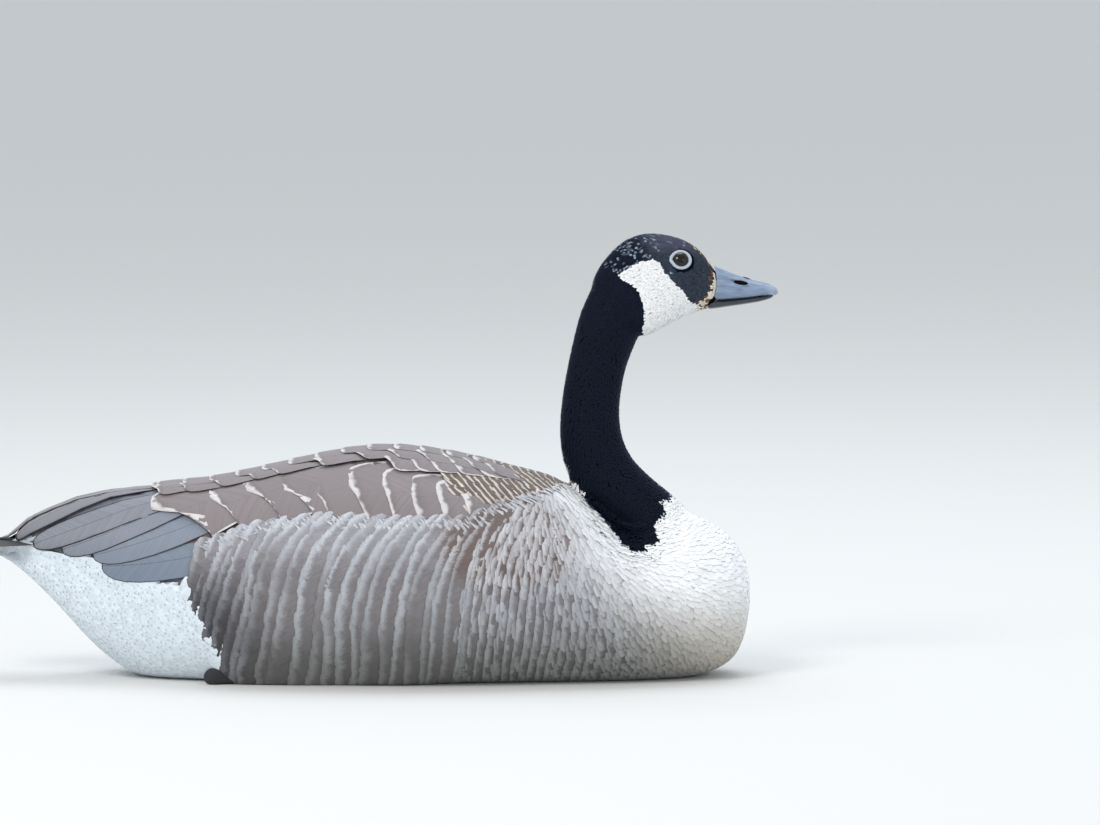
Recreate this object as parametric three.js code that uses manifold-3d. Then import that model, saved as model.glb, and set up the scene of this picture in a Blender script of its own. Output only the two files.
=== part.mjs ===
// A Canada goose resting on the ground with its neck raised, life size, as a museum model shows it.
// Millimetres. +X is the way the bird faces, +Y its left side and +Z up. The ground is at Z 0.
import * as THREE from 'three';
import { mergeVertices } from 'three/addons/utils/BufferGeometryUtils.js';
import Module from 'manifold-3d';

const wasm = await Module();
wasm.setup();

// Driving sizes
const GAP = 0.3;              // left between two pieces that touch
const SIDE_ROUND = 1;         // power of the sine and cosine in a section's upper half, 1 is an ellipse
const BELLY_ROUND = 0.8;      // the same for the lower half, which is squarer
const WING_DEPTH = 7;         // thickness of the folded wing on the body
const FLANK_PROUD = 2.5;      // how far the flank feathers stand out over the edge of the wing
const TAIL_CUT_X = -228;      // where the tail is parted from the body
const REACH = 400;            // more than any size of the bird, for cutting shapes
const FINENESS = [26, 27];    // faces round and along the outer form

// The bird's outer form with its wings folded on it, from under the tail to the breast.
// Each row: x, height of the back, height of the belly, half the width, height of the widest point.
const BODY = [
  [-299, 99.5, 98.5, 2, 99],
  [-288, 101.5, 94, 14, 98],
  [-268, 108, 83, 22, 97],
  [-237, 127, 52, 34, 92],
  [-205, 140.5, 17, 47, 84],
  [-170, 146, -3, 60, 78],
  [-120, 151, -6, 78, 74],
  [-60, 165, -6, 95, 72],
  [0, 176.5, -6, 103, 72],
  [50, 173, -6, 103, 71],
  [100, 162, -6, 99, 70],
  [150, 147, -6, 91, 67],
  [195, 117, -5, 82, 62],
  [233, 111, -2, 69, 60],
  [261, 98, 4, 53.5, 60],
  [280, 80, 19, 32, 59],
  [288.5, 61, 56, 3, 58.5],
];

// The full breast and crop bulge out of the body as an ellipsoid.
const BREAST = { x: 222, z: 69, size: [132, 126, 114] };
// The neck is a bent tube, from inside the breast up into the head.
// Each row: x, z, radius seen from the side, radius seen from the front.
const NECK = [
  [236, 84, 5, 6],
  [228, 99, 25, 30],
  [215, 115, 25.5, 31],
  [194, 133, 25.3, 26],
  [178.5, 149, 25.5, 23.5],
  [169.5, 167, 24.6, 22.5],
  [166, 186, 23.2, 21.5],
  [166, 203, 22.2, 20.7],
  [168, 220, 21.8, 20],
  [171.5, 238, 21.8, 19.7],
  [177, 257, 23, 19.7],
  [183, 273, 24, 19.5],
  [190, 287, 22, 17],
  [198, 299, 5, 4],
];
const NECK_BASE = { front: [229.5, 134], side: [205, 93] };   // edge of the neck's feathers on the crop
const NECK_TOP = { throat: [206, 258], nape: [170, 301] };    // where the neck is parted from the head

// The head from the nape to the feathers round the bill, in rows like the body's.
const HEAD = [
  [166.5, 296, 294, 2, 295],
  [170.5, 307, 283, 11, 295],
  [179, 319.5, 270, 17, 295],
  [192, 331.5, 261, 21, 295],
  [207, 336.7, 258.5, 22.8, 296],
  [221, 336.2, 265, 22.3, 297],
  [234, 333, 272, 20, 299],
  [246, 326.5, 277, 16.5, 298],
  [255, 316.8, 279.6, 13.6, 296],
  [260, 310.8, 283, 12.4, 295.5],
  [264, 304, 289, 8, 295.5],
  [265.5, 297, 294.5, 2, 295.5],
];
const BILL_UPPER = [
  [249, 300, 292, 2, 296],
  [252, 312, 286.6, 9, 292],
  [258, 312.6, 286, 12.3, 291],
  [266, 309.6, 286, 12.5, 290.5],
  [276, 305.6, 287, 11.7, 290.5],
  [287, 301.9, 288.2, 10.7, 291],
  [297, 299.7, 289.6, 9.8, 292],
  [303.5, 297.8, 290, 7.8, 292.5],
  [307.3, 294.8, 289.8, 4.6, 292.4],
  [308.6, 292.6, 291.4, 1, 292],
];
const BILL_LOWER = [
  [249, 285, 283, 2, 284],
  [252, 287, 280, 8, 284],
  [258, 287, 279.4, 11, 284],
  [268, 287.4, 280.9, 10.8, 284.4],
  [280, 288.4, 282.6, 9.7, 285.6],
  [293, 289.6, 284.7, 8.6, 287.2],
  [301, 290.4, 286.8, 7, 288.6],
  [305.5, 290.2, 288.6, 2, 289.4],
];
const NOSTRIL = { x: 280, z: 299.6, size: [12, 60, 3.2], slope: -8 };   // open right through the bill
const NAIL = { x: 303.7, z: 295.3, size: [10, 8, 4], slope: -28 };      // the hard tip of the upper bill
const EYE = { x: 233.5, y: 11.2, z: 316, radius: 8 };
const LID = { radius: 7.2, thick: 1.5, long: 1.12, out: 2, up: 21, forward: 12 };

// The folded wing's outline from the side: along the top of the flank, and under the flight feathers.
const FLANK_TOP = [[138, 143], [101, 134], [71, 121], [21, 120], [-40, 122.5], [-93, 115], [-129, 101]];
const WING_UNDER = [[-141, 67], [-174, 70], [-198, 79], [-229, 91], [-253, 97]];
const WING_END = { x: -262, z: 104 };
// The gap between the two wings from above, as x and the distance from the middle.
const MANTLE_EDGE = [[150, 46], [80, 31], [20, 17], [-60, 6], [-110, GAP / 2], [-REACH, GAP / 2]];
// The rear edge of the flank's feathers, and the breast end of the flank.
const FLANK_REAR = [[-141, 67], [-133, 45], [-122, 25], [-114, -20]];
const FLANK_FRONT = [[240, -20], [240, 90]];
const FLANK_FADES = { from: 60, to: 150 };

// Rows of scapulars and coverts: each vane's tip lies a step behind the last one's.
const COVERT_ROWS = [
  { angle: 23, width: 28, length: 60, skew: 0.15, first_tip: 76 },
  { angle: 48, width: 35, length: 62, skew: 0.3, first_tip: 66 },
];
const COVERT = {
  columns: 9, step: 19, step_grows: 1, length_grows: 2, width_grows: 1.2, root_lift: -3, tip_lift: 1.6,
  thick: 2.2, tilt: 1.2,
};
// The inner wing feathers lie over the flight feathers' roots. Their tips: x, angle round the body, lift.
const TERTIAL = { root_x: -70, root_lift: -1.5, width: 33, thick: 2, tilt: 2.4 };
const TERTIAL_TIPS = [[-140, 58, 2.6], [-152, 42, 3], [-166, 22, 3.4]];
// The flight feathers. Their tips, lowest first: x, angle round the body, lift.
const FLIGHT = {
  width: 27, width_step: -1.6, root_x: -90, root_step: -9, root_low: 84, root_high: 30, root_lift: -1,
  thick: 1.8, tilt: 2.4, steps: 7,
};
const FLIGHT_TIPS = [
  [-199, 88, 1.4], [-214, 84, 2], [-233, 83, 2.4], [-255, 77, 3],
  [-270, 66, 4.5], [-281, 40, 7], [-284, 14, 9],
];
// The tail feathers lie side by side, the middle ones longest and on top.
const TAIL = {
  feathers: 10, root_x: -236, tip_x: -309, shorter: 1.2, root_spread: 2, spread: 6.2, width: 15, thick: 1.6,
  top: 101.4, lower: 0.85, falls: 2.5,
};

// The leg lies folded on the ground under the belly, with the heel behind.
const LEG = {
  heel: [-117, 63], heel_size: [18.7, 12.2, 14.4], heel_slope: 12, foot: [-30, 50], shank: 5.2,
  toe: 72, side_toe: 63, toe_radius: 3.8, toe_end: 2.3, toe_level: 2.6, splay: 24, turned_in: 6,
  web: 2.4, web_short: 5,
};

// A smooth curve of numbers through a table's rows, read at any place from 0, the first row, to 1, the last.
function alongRows(rows) {
  const width = rows[0].length;
  const curve = new THREE.CubicInterpolant(rows.map((row, i) => i), rows.flat(), width);
  return (v) => Array.from(curve.evaluate(v * (rows.length - 1)));
}

function solid(geometry) {
  geometry.deleteAttribute('normal');
  geometry.deleteAttribute('uv');
  const merged = mergeVertices(geometry, 1e-4);
  const vertProperties = merged.attributes.position.array;
  const triVerts = new Uint32Array(merged.index.array);
  const made = new wasm.Manifold(new wasm.Mesh({ numProp: 3, vertProperties, triVerts }));
  if (made.volume() > 0) return made;
  return new wasm.Manifold(new wasm.Mesh({ numProp: 3, vertProperties, triVerts: triVerts.reverse() }));
}

// A solid made by moving a sphere's points to place(angle, v): v goes from its first pole, 0, to its last, 1.
function formed(around, along, place) {
  const sphere = new THREE.SphereGeometry(1, around, along);
  const { position, uv } = sphere.attributes;
  for (let i = 0; i < position.count; i++) {
    const v = 1 - uv.getY(i);
    position.setXYZ(i, ...place(uv.getX(i) * 2 * Math.PI, v));
  }
  return solid(sphere);
}

const join = (pieces) => pieces.reduce((whole, piece) => whole.add(piece));
const bent = (value, power) => Math.sign(value) * Math.abs(value) ** power;
const between = (a, b, v) => a + (b - a) * v;
const largest = (made) => made.decompose().reduce((a, b) => (a.volume() > b.volume() ? a : b));

// One point of a section row, by its angle from the top.
function sectionPoint([x, top, bottom, half, widest], angle, grow) {
  const across = Math.sin(angle);
  const up = Math.cos(angle);
  const power = up > 0 ? SIDE_ROUND : BELLY_ROUND;
  const reach = up > 0 ? top - widest : widest - bottom;
  const grown = (size) => Math.max(size + grow, size / 10);
  return [x, grown(half) * bent(across, power), widest + grown(reach) * bent(up, power)];
}

// A shape through section rows, grown or shrunk by some millimetres.
function lofted(rows, around, along, grow = 0) {
  const at = alongRows(rows);
  const [first, last] = [rows[0][0], rows[rows.length - 1][0]];
  const middle = (first + last) / 2;
  return formed(around, along, (angle, v) => {
    const row = at(v);
    row[0] = middle + (row[0] - middle) * (1 + 2 * grow / (last - first));
    return v === 0 || v === 1 ? [row[0], 0, row[4]] : sectionPoint(row, angle, grow);
  });
}

function extruded(outline, depth) {
  const shape = new THREE.Shape(outline.map(([a, b]) => new THREE.Vector2(a, b)));
  return new THREE.ExtrudeGeometry(shape, { depth, bevelEnabled: false });
}

const curved = (points, steps) => new THREE.SplineCurve(points.map(([a, b]) => new THREE.Vector2(a, b)))
  .getPoints(steps).map(({ x, y }) => [x, y]);

// Everything above the ground.
const aboveGround = solid(new THREE.BoxGeometry(2 * REACH, 2 * REACH, REACH).translate(0, 0, REACH / 2));

// The outer form
const bodyAt = alongRows(BODY);
const body = (grow) => lofted(BODY, ...FINENESS, grow);

function bodyRow(x) {
  let [low, high] = [0, 1];
  for (let i = 0; i < 24; i++) {
    const middle = (low + high) / 2;
    if (bodyAt(middle)[0] < x) low = middle;
    else high = middle;
  }
  return bodyAt(low);
}

// A point on the outer form's right side: x along it, angle round it in degrees from the ridge, lift off it.
function onBody(x, angle, lift) {
  const [, across, up] = sectionPoint(bodyRow(x), THREE.MathUtils.degToRad(angle), lift);
  return new THREE.Vector3(x, -across, up);
}

const flankTop = curved(FLANK_TOP, 18);

// The flank stands out over the wing's lower edge, and fades into the breast.
function flank(grow) {
  const at = alongRows(BODY);
  const shell = formed(...FINENESS, (angle, v) => {
    const row = at(v);
    const proud = FLANK_PROUD * (1 - THREE.MathUtils.smoothstep(row[0], FLANK_FADES.from, FLANK_FADES.to));
    return v === 0 || v === 1 ? [row[0], 0, row[4]] : sectionPoint(row, angle, proud + grow);
  });
  const outline = [...flankTop, ...FLANK_REAR, ...FLANK_FRONT];
  const side = extruded(outline.reverse(), 2 * REACH).rotateX(Math.PI / 2).translate(0, REACH, 0);
  return shell.intersect(solid(side));
}

// The part of the outer form that is wing, on the right side. With room it is that much larger all round.
function wingRegion(room) {
  const endX = WING_END.x - 2 * room;
  const over = [[endX, WING_END.z - room], [endX, REACH], [flankTop[0][0], REACH]];
  const side = extruded([...flankTop, ...WING_UNDER, ...over], REACH);
  side.rotateX(Math.PI / 2).translate(room, 0, -room);
  const edge = MANTLE_EDGE.map(([x, y]) => [x, -y]);
  const plan = extruded([...edge, [-REACH, -REACH], [MANTLE_EDGE[0][0], -REACH]], REACH);
  return solid(side).intersect(solid(plan.translate(room, room, 0)));
}

// A thin vane on a surface: at(v, across, up) is a point at a share of its length, so far across and up.
function vane(at, width, thick, steps = 5) {
  return formed(4, steps, (angle, v) => {
    const share = (1 - Math.cos(Math.PI * v)) / 2;
    const blunt = Math.sqrt(Math.max(0, 1 - Math.abs(2 * share - 1) ** 3.2));
    const across = width / 2 * blunt * Math.sin(angle);
    const up = thick / 2 * Math.cos(angle) * Math.min(1, 0.3 + blunt);
    return at(share, across, v === 0 || v === 1 ? 0 : up).toArray();
  });
}

// A vane on the outer form, from a root to a tip that are each x, angle and lift.
function bodyVane(root, tip, width, thick, skew, tilt, steps) {
  return vane((v, across, up) => {
    const [x, angle, lift] = root.map((value, i) => between(value, tip[i], v));
    const perDegree = onBody(x, angle + 1, 0).distanceTo(onBody(x, angle, 0));
    return onBody(x + skew * across, angle + across / perDegree, lift + up + tilt * across / width);
  }, width, thick, steps);
}

function covertVanes() {
  return COVERT_ROWS.flatMap((row) => Array.from({ length: COVERT.columns }, (_, i) => {
    const tipX = row.first_tip - COVERT.step * i - COVERT.step_grows * i * (i - 1) / 2;
    const root = [tipX + row.length + COVERT.length_grows * i, row.angle, COVERT.root_lift];
    const width = row.width + COVERT.width_grows * i;
    return bodyVane(root, [tipX, row.angle, COVERT.tip_lift], width, COVERT.thick, row.skew, COVERT.tilt);
  }));
}

function tertialVanes() {
  return TERTIAL_TIPS.map((tip) => {
    const root = [TERTIAL.root_x, tip[1], TERTIAL.root_lift];
    return bodyVane(root, tip, TERTIAL.width, TERTIAL.thick, 0, TERTIAL.tilt);
  });
}

function flightVanes() {
  return FLIGHT_TIPS.map((tip, i) => {
    const angle = between(FLIGHT.root_low, FLIGHT.root_high, i / (FLIGHT_TIPS.length - 1));
    const root = [FLIGHT.root_x + FLIGHT.root_step * i, angle, FLIGHT.root_lift];
    const width = FLIGHT.width + FLIGHT.width_step * i;
    return bodyVane(root, tip, width, FLIGHT.thick, 0, FLIGHT.tilt, FLIGHT.steps);
  });
}

function wing() {
  const region = wingRegion(0);
  const slab = body(0).intersect(region).subtract(body(GAP - WING_DEPTH));
  const offLimits = join([body(GAP).add(flank(GAP)).subtract(region), ...tailFeathers(2 * GAP)]);
  const middle = new THREE.BoxGeometry(2 * REACH, REACH, REACH).translate(0, REACH / 2 - GAP / 2, REACH / 2);
  const vanes = [...covertVanes(), ...tertialVanes(), ...flightVanes()];
  return largest(join([slab, ...vanes]).subtract(offLimits).subtract(solid(middle)));
}

// The breast and neck
const breast = ellipsoid(BREAST.x, 0, BREAST.z, BREAST.size, 0, 24, 16);
const neckLine = new THREE.CatmullRomCurve3(NECK.map(([x, z]) => new THREE.Vector3(x, 0, z)));
const neckAt = alongRows(NECK);

const neckTube = formed(24, 28, (angle, v) => {
  const centre = neckLine.getPoint(v);
  if (v === 0 || v === 1) return centre.toArray();
  const forward = neckLine.getTangent(v);
  const [, , deep, wide] = neckAt(v);
  const out = deep * Math.cos(angle);
  return [centre.x + out * forward.z, wide * Math.sin(angle), centre.z - out * forward.x];
});

// A plane seen edge-on from the side through two points, as its normal and its distance from the origin.
function planeThrough([x0, z0], [x1, z1]) {
  const normal = new THREE.Vector3(z0 - z1, 0, x1 - x0).normalize();
  return { normal, distance: normal.dot(new THREE.Vector3(x0, 0, z0)) };
}

function cutAway(made, { normal, distance }, keepsPlus) {
  const sign = keepsPlus ? 1 : -1;
  return made.trimByPlane(normal.toArray().map((n) => n * sign), distance * sign + GAP / 2);
}

const baseCut = planeThrough(NECK_BASE.side, NECK_BASE.front);
const topCut = planeThrough(NECK_TOP.nape, NECK_TOP.throat);
const headAndNeck = lofted(HEAD, 24, 22).add(neckTube).add(breast);

function neck() {
  const lower = cutAway(cutAway(headAndNeck, topCut, false), baseCut, true);
  return largest(lower.subtract(body(GAP)).subtract(flank(GAP)));
}

// An ellipsoid, turned about the Y axis by some degrees from level.
function ellipsoid(x, y, z, [long, wide, high], slope, around = 14, along = 8) {
  const shape = new THREE.SphereGeometry(0.5, around, along).scale(long, wide, high);
  return solid(shape.rotateY(THREE.MathUtils.degToRad(-slope)).translate(x, y, z));
}

function eyeball(grow, side) {
  const size = 2 * (EYE.radius + grow);
  return ellipsoid(EYE.x, EYE.y * side, EYE.z, [size, size, size], 0, 16, 10);
}

function lid(side) {
  const ring = new THREE.TorusGeometry(LID.radius, LID.thick, 6, 20).scale(LID.long, 1, 1);
  const out = Math.sqrt(EYE.radius ** 2 - LID.radius ** 2) + LID.out;
  ring.translate(0, 0, out).rotateX(-side * THREE.MathUtils.degToRad(90 - LID.up));
  ring.rotateZ(-side * THREE.MathUtils.degToRad(LID.forward));
  return solid(ring.translate(EYE.x, side * EYE.y, EYE.z));
}

function head() {
  const upper = cutAway(headAndNeck, topCut, true).add(lid(1)).add(lid(-1));
  return largest(upper.subtract(eyeball(GAP, 1)).subtract(eyeball(GAP, -1)));
}

const headGrown = lofted(HEAD, 24, 22, GAP);

const upperBill = (grow) => lofted(BILL_UPPER, 18, 15, grow);

function billUpper() {
  const nostril = ellipsoid(NOSTRIL.x, 0, NOSTRIL.z, NOSTRIL.size, NOSTRIL.slope, 12, 8);
  const nail = ellipsoid(NAIL.x, 0, NAIL.z, NAIL.size, NAIL.slope);
  return largest(upperBill(0).add(nail).subtract(headGrown).subtract(nostril));
}

function billLower() {
  return largest(lofted(BILL_LOWER, 16, 11).subtract(headGrown).subtract(upperBill(GAP)));
}

// A tapered rod between two points, with round ends.
function rod(from, to, startRadius, endRadius) {
  const [a, b] = [new THREE.Vector3(...from), new THREE.Vector3(...to)];
  const length = a.distanceTo(b);
  const profile = [[0, -startRadius], [startRadius, 0], [endRadius, length], [0, length + endRadius]];
  const turned = new THREE.LatheGeometry(profile.map(([r, y]) => new THREE.Vector2(r, y)), 8);
  turned.applyQuaternion(new THREE.Quaternion().setFromUnitVectors(
    new THREE.Vector3(0, 1, 0), b.clone().sub(a).normalize()));
  return solid(turned.translate(a.x, a.y, a.z));
}

function leg(grow, side) {
  const [heelX, heelY] = LEG.heel;
  const [footX, footY] = LEG.foot;
  const toe = (turn, short) => {
    const angle = THREE.MathUtils.degToRad(turn * LEG.splay - LEG.turned_in * side);
    const reach = (turn === 0 ? LEG.toe : LEG.side_toe) - short;
    return [footX + reach * Math.cos(angle), side * footY + reach * Math.sin(angle)];
  };
  const shank = rod([heelX, side * heelY, LEG.shank], [footX, side * footY, LEG.shank],
    LEG.shank + grow, LEG.shank + grow);
  const heelSize = LEG.heel_size.map((size) => size + 2 * grow);
  const heel = ellipsoid(heelX, side * heelY, LEG.heel_size[2] / 2 - 1, heelSize, LEG.heel_slope);
  const turns = [-1, 0, 1];
  const toes = turns.map((turn) => rod([footX, side * footY, LEG.toe_level], [...toe(turn, 0), LEG.toe_end],
    LEG.toe_radius + grow, LEG.toe_end + grow));
  const webEdge = turns.map((turn) => toe(turn, LEG.web_short - grow));
  const web = extruded([[footX, side * footY], ...webEdge], LEG.web + grow);
  return join([shank, heel, solid(web), ...toes]).intersect(aboveGround);
}

function tailFeathers(grow) {
  const middle = (TAIL.feathers - 1) / 2;
  return Array.from({ length: TAIL.feathers }, (_, i) => {
    const out = i - middle;
    const length = TAIL.root_x - TAIL.tip_x - TAIL.shorter * Math.abs(out) + 2 * grow;
    return vane((v, across, up) => new THREE.Vector3(
      TAIL.root_x + grow - v * length,
      out * between(TAIL.root_spread, TAIL.spread, v) + across,
      TAIL.top - TAIL.lower * Math.abs(out) - TAIL.falls * v + up,
    ), TAIL.width + 2 * grow, TAIL.thick + 2 * grow);
  });
}

// The body under the wings, with the flanks, the crop and all that is behind them: its right half, mirrored.
function trunk() {
  const outer = body(0).add(flank(0)).subtract(wingRegion(GAP)).add(body(-WING_DEPTH));
  const crop = cutAway(neckTube.add(breast), baseCut, false);
  const half = outer.add(crop).intersect(aboveGround).subtract(leg(GAP, -1)).trimByPlane([0, -1, 0], 0);
  return half.add(half.mirror([0, 1, 0]));
}

const wholeTrunk = trunk();
const tailCut = { normal: new THREE.Vector3(1, 0, 0), distance: TAIL_CUT_X };
const torso = () => largest(cutAway(wholeTrunk, tailCut, true));
const tail = () => largest(join([cutAway(wholeTrunk, tailCut, false), ...tailFeathers(0)]));

// Colours and finishes
const finish = (color, roughness) => new THREE.MeshStandardMaterial({ color, roughness, metalness: 0 });
const barred = finish(0x9c8f86, 0.9);
const wingBrown = finish(0x83766e, 0.85);
const black = finish(0x15181f, 0.8);
const horn = finish(0x2f343c, 0.4);
const dark = finish(0x1a1310, 0.1);
const skinBlack = finish(0x22262b, 0.6);

const goose = new THREE.Group();

function addNode(name, made, material, mirrored = false) {
  const { vertProperties, triVerts } = made.getMesh();
  const geometry = new THREE.BufferGeometry();
  geometry.setAttribute('position', new THREE.BufferAttribute(vertProperties, 3));
  geometry.setIndex(new THREE.BufferAttribute(triVerts, 1));
  const mesh = new THREE.Mesh(geometry, material);
  mesh.name = name;
  if (mirrored) mesh.scale.y = -1;
  goose.add(mesh);
}

const rightWing = wing();
const rightLeg = leg(0, -1);
addNode('torso', torso(), barred);
addNode('tail', tail(), black);
addNode('wing_right', rightWing, wingBrown);
addNode('wing_left', rightWing, wingBrown, true);
addNode('neck', neck(), black);
addNode('head', head(), black);
addNode('bill_upper', billUpper(), horn);
addNode('bill_lower', billLower(), horn);
addNode('eye_right', eyeball(0, -1), dark);
addNode('eye_left', eyeball(0, 1), dark);
addNode('leg_right', rightLeg, skinBlack);
addNode('leg_left', rightLeg, skinBlack, true);

// The origin is on the ground under the middle of the bird's length.
const box = new THREE.Box3().setFromObject(goose);
goose.position.x = -(box.min.x + box.max.x) / 2;

export default goose;
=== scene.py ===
"""A Canada goose resting on its belly with its neck raised, as a museum shows it, at life size."""

import bpy
import numpy as np
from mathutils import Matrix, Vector
from mathutils.bvhtree import BVHTree
from mathutils.kdtree import KDTree


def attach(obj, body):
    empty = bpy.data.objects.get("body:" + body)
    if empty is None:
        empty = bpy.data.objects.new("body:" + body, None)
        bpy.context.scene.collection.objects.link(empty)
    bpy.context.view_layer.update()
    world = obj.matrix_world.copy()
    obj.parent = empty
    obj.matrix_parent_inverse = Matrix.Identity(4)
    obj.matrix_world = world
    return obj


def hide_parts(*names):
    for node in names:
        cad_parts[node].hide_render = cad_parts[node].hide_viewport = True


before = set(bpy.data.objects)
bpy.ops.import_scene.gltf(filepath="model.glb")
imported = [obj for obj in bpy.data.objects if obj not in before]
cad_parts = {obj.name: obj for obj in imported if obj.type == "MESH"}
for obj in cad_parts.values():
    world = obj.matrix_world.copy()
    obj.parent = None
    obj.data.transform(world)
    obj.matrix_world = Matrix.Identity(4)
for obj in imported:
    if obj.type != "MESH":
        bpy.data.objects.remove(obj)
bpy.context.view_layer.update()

# The studio: a pale floor that runs on past every view, three large soft lamps and a long lens. The floor
# is matt painted board, which shows no shine. The lamps stand left, right and behind, as even daylight.
MM = 0.001
VIEW_WIDTH = 0.836            # metres of goose across the picture
VIEW_CENTRE = (0.1353, 0.0, 0.2003)
CAMERA_UP = np.radians(5)     # the lens looks from a little above the bird
CAMERA_AWAY = 6.0
SENSOR = 36.0
FLOOR_SIZE = 30.0


def linear(code):
    """An sRGB hex colour as linear red, green and blue."""
    part = np.array([int(code[i:i + 2], 16) for i in (1, 3, 5)]) / 255
    return np.where(part <= 0.04045, part / 12.92, ((part + 0.055) / 1.055) ** 2.4)


def node(tree, kind, inputs=None, **settings):
    """Adds a node. Settings are its own properties, and inputs its sockets' values or links."""
    made = tree.nodes.new("ShaderNode" + kind)
    for name, value in settings.items():
        setattr(made, name, value)
    for name, value in (inputs or {}).items():
        if isinstance(value, bpy.types.NodeSocket):
            tree.links.new(value, made.inputs[name])
        else:
            made.inputs[name].default_value = value
    return made


def new_material(name):
    """An empty material and its node tree."""
    made = bpy.data.materials.new(name)
    made.use_nodes = True
    made.node_tree.nodes.clear()
    return made, made.node_tree


def surface(tree, **inputs):
    """Ends a material in one principled shader. The names of its sockets have _ for a space."""
    values = {name.replace("_", " "): value for name, value in inputs.items()}
    shader = node(tree, "BsdfPrincipled", values)
    node(tree, "OutputMaterial", {"Surface": shader.outputs["BSDF"]})


scene = bpy.context.scene
scene.view_settings.view_transform = "Standard"
bpy.ops.object.select_all(action="DESELECT")
bpy.ops.mesh.primitive_plane_add(size=FLOOR_SIZE, location=(0, 0, 0))
floor = bpy.context.object
floor.name = "floor"
matt_board, tree = new_material("matt painted board")
grain = node(tree, "TexNoise", {"Scale": 3.0, "Detail": 3.0})
shade = node(tree, "MapRange", {"Value": grain.outputs["Fac"], "To Min": 0.97, "To Max": 1.0})
paint = node(tree, "Mix", {0: 1.0, 6: (*linear("#e4e3e0"), 1), 7: shade.outputs["Result"]},
             data_type="RGBA", blend_type="MULTIPLY")
surface(tree, Base_Color=paint.outputs[2], Roughness=0.9, Specular_IOR_Level=0.2)
floor.data.materials.append(matt_board)

LAMPS = [  # name, place, width, watts, colour
    ("key", (-1.4, -2.2, 2.6), 1.4, 47, "#fffaf3"),
    ("fill", (2.6, -2.0, 1.2), 2.2, 11, "#e9f1ff"),
    ("top", (0.2, 0.9, 2.8), 2.0, 34, "#f0f6ff"),
]
for name, place, width, watts, colour in LAMPS:
    lamp = bpy.data.lights.new(name, "AREA")
    lamp.shape = "DISK"
    lamp.size = width
    lamp.energy = watts
    lamp.color = linear(colour)
    holder = bpy.data.objects.new(name, lamp)
    holder.location = place
    holder.rotation_euler = (Vector(VIEW_CENTRE) - Vector(place)).to_track_quat("-Z", "Y").to_euler()
    scene.collection.objects.link(holder)

world = bpy.data.worlds.new("soft daylight")
world.use_nodes = True
world.node_tree.nodes["Background"].inputs["Color"].default_value = (*linear("#e4ebf2"), 1)
world.node_tree.nodes["Background"].inputs["Strength"].default_value = 0.9
scene.world = world

lens = bpy.data.cameras.new("long lens")
lens.sensor_width = SENSOR
lens.lens = SENSOR * CAMERA_AWAY / VIEW_WIDTH
lens.clip_end = 100.0
camera = bpy.data.objects.new("camera", lens)
toward = Vector((0, -np.cos(CAMERA_UP), np.sin(CAMERA_UP)))
camera.location = Vector(VIEW_CENTRE) + CAMERA_AWAY * toward
camera.rotation_euler = (-toward).to_track_quat("-Z", "Y").to_euler()
scene.collection.objects.link(camera)
scene.camera = camera

# The skin is one closed surface from the tail to the bill, under all of the feathers. It is measured by
# rays that run to the solids from outside towards a line inside the bird, smoothed, and set in by the
# coat's depth.
SPINE = [  # the line's x and z, a point on the back, one on the belly, then the coat's depth, in mm
    (-293, 98.5, -293, 101, -293, 96, 1.5),
    (-287, 98, -287, 102, -287, 94, 3),
    (-268, 96, -268, 108, -268, 83, 5),
    (-237, 91, -237, 127, -237, 52, 7),
    (-205, 84, -205, 140, -205, 17, 8),
    (-170, 78, -170, 146, -170, -3, 9),
    (-120, 74, -120, 151, -120, -6, 9),
    (-60, 72, -60, 165, -60, -6, 9),
    (0, 72, 0, 176, 0, -6, 9),
    (50, 71, 50, 173, 50, -6, 9),
    (95, 70, 95, 163, 95, -6, 9),
    (132, 70, 132, 154, 136, -6, 9),
    (158, 73, 141, 152, 182, -5, 8),
    (180, 79, 145, 153, 228, -2, 7.5),
    (195, 86, 147.5, 154, 264, 6, 7),
    (204, 94, 148, 156, 285, 32, 6.5),
    (208, 103, 147, 158, 288, 66, 6),
    (208, 112, 146, 160, 279, 96, 5.5),
    (204, 120, 145, 162, 263, 115, 5),
    (198, 128, 144.5, 164, 246, 124, 4.5),
    (191, 135, 144.3, 166.5, 229, 135, 4),
    (183, 144, 144, 170, 214, 151, 4),
    (175, 156, 143.5, 174.5, 201, 167, 3.6),
    (169, 170, 143, 181, 192, 182, 3.4),
    (166, 188, 142.6, 191, 187, 192, 3.2),
    (166, 205, 143.8, 205, 186.5, 206, 3),
    (168, 222, 146.3, 224, 188, 220, 3),
    (171.5, 239, 150, 243, 191.5, 236, 2.8),
    (176, 255, 154, 262, 196.5, 250, 2.6),
    (180, 266, 158, 277, 201, 256, 2.4),
    (186, 277, 164, 292, 204.5, 258.5, 2.2),
    (193, 286, 171, 308, 208, 260, 2),
    (200, 292, 183, 324, 212, 261, 1.8),
    (208, 296, 200, 335, 218, 263.5, 1.7),
    (217, 298, 215, 337, 225, 267, 1.6),
    (227, 299, 229, 335, 232, 271, 1.5),
    (237, 298, 240, 330, 240, 274.5, 1.4),
    (246, 297, 249, 324, 248, 278, 1.3),
    (254, 296, 256, 315, 255, 280, 1.1),
    (260, 295.5, 260.5, 310, 260, 283, 1),
    (264, 295.5, 264, 304, 264, 289, 0.8),
    (265.2, 295.5, 265.2, 298, 265.2, 293, 0.5),
]
BETWEEN = 11        # sections from one row of the spine to the next
ROUND = 180         # places round a section
DEGREES = 360 / ROUND
FLESH = ["torso", "neck", "head", "tail", "wing_right", "wing_left"]
HEEL_X = -100 * MM  # ahead of this the coat hangs over the folded legs too
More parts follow.
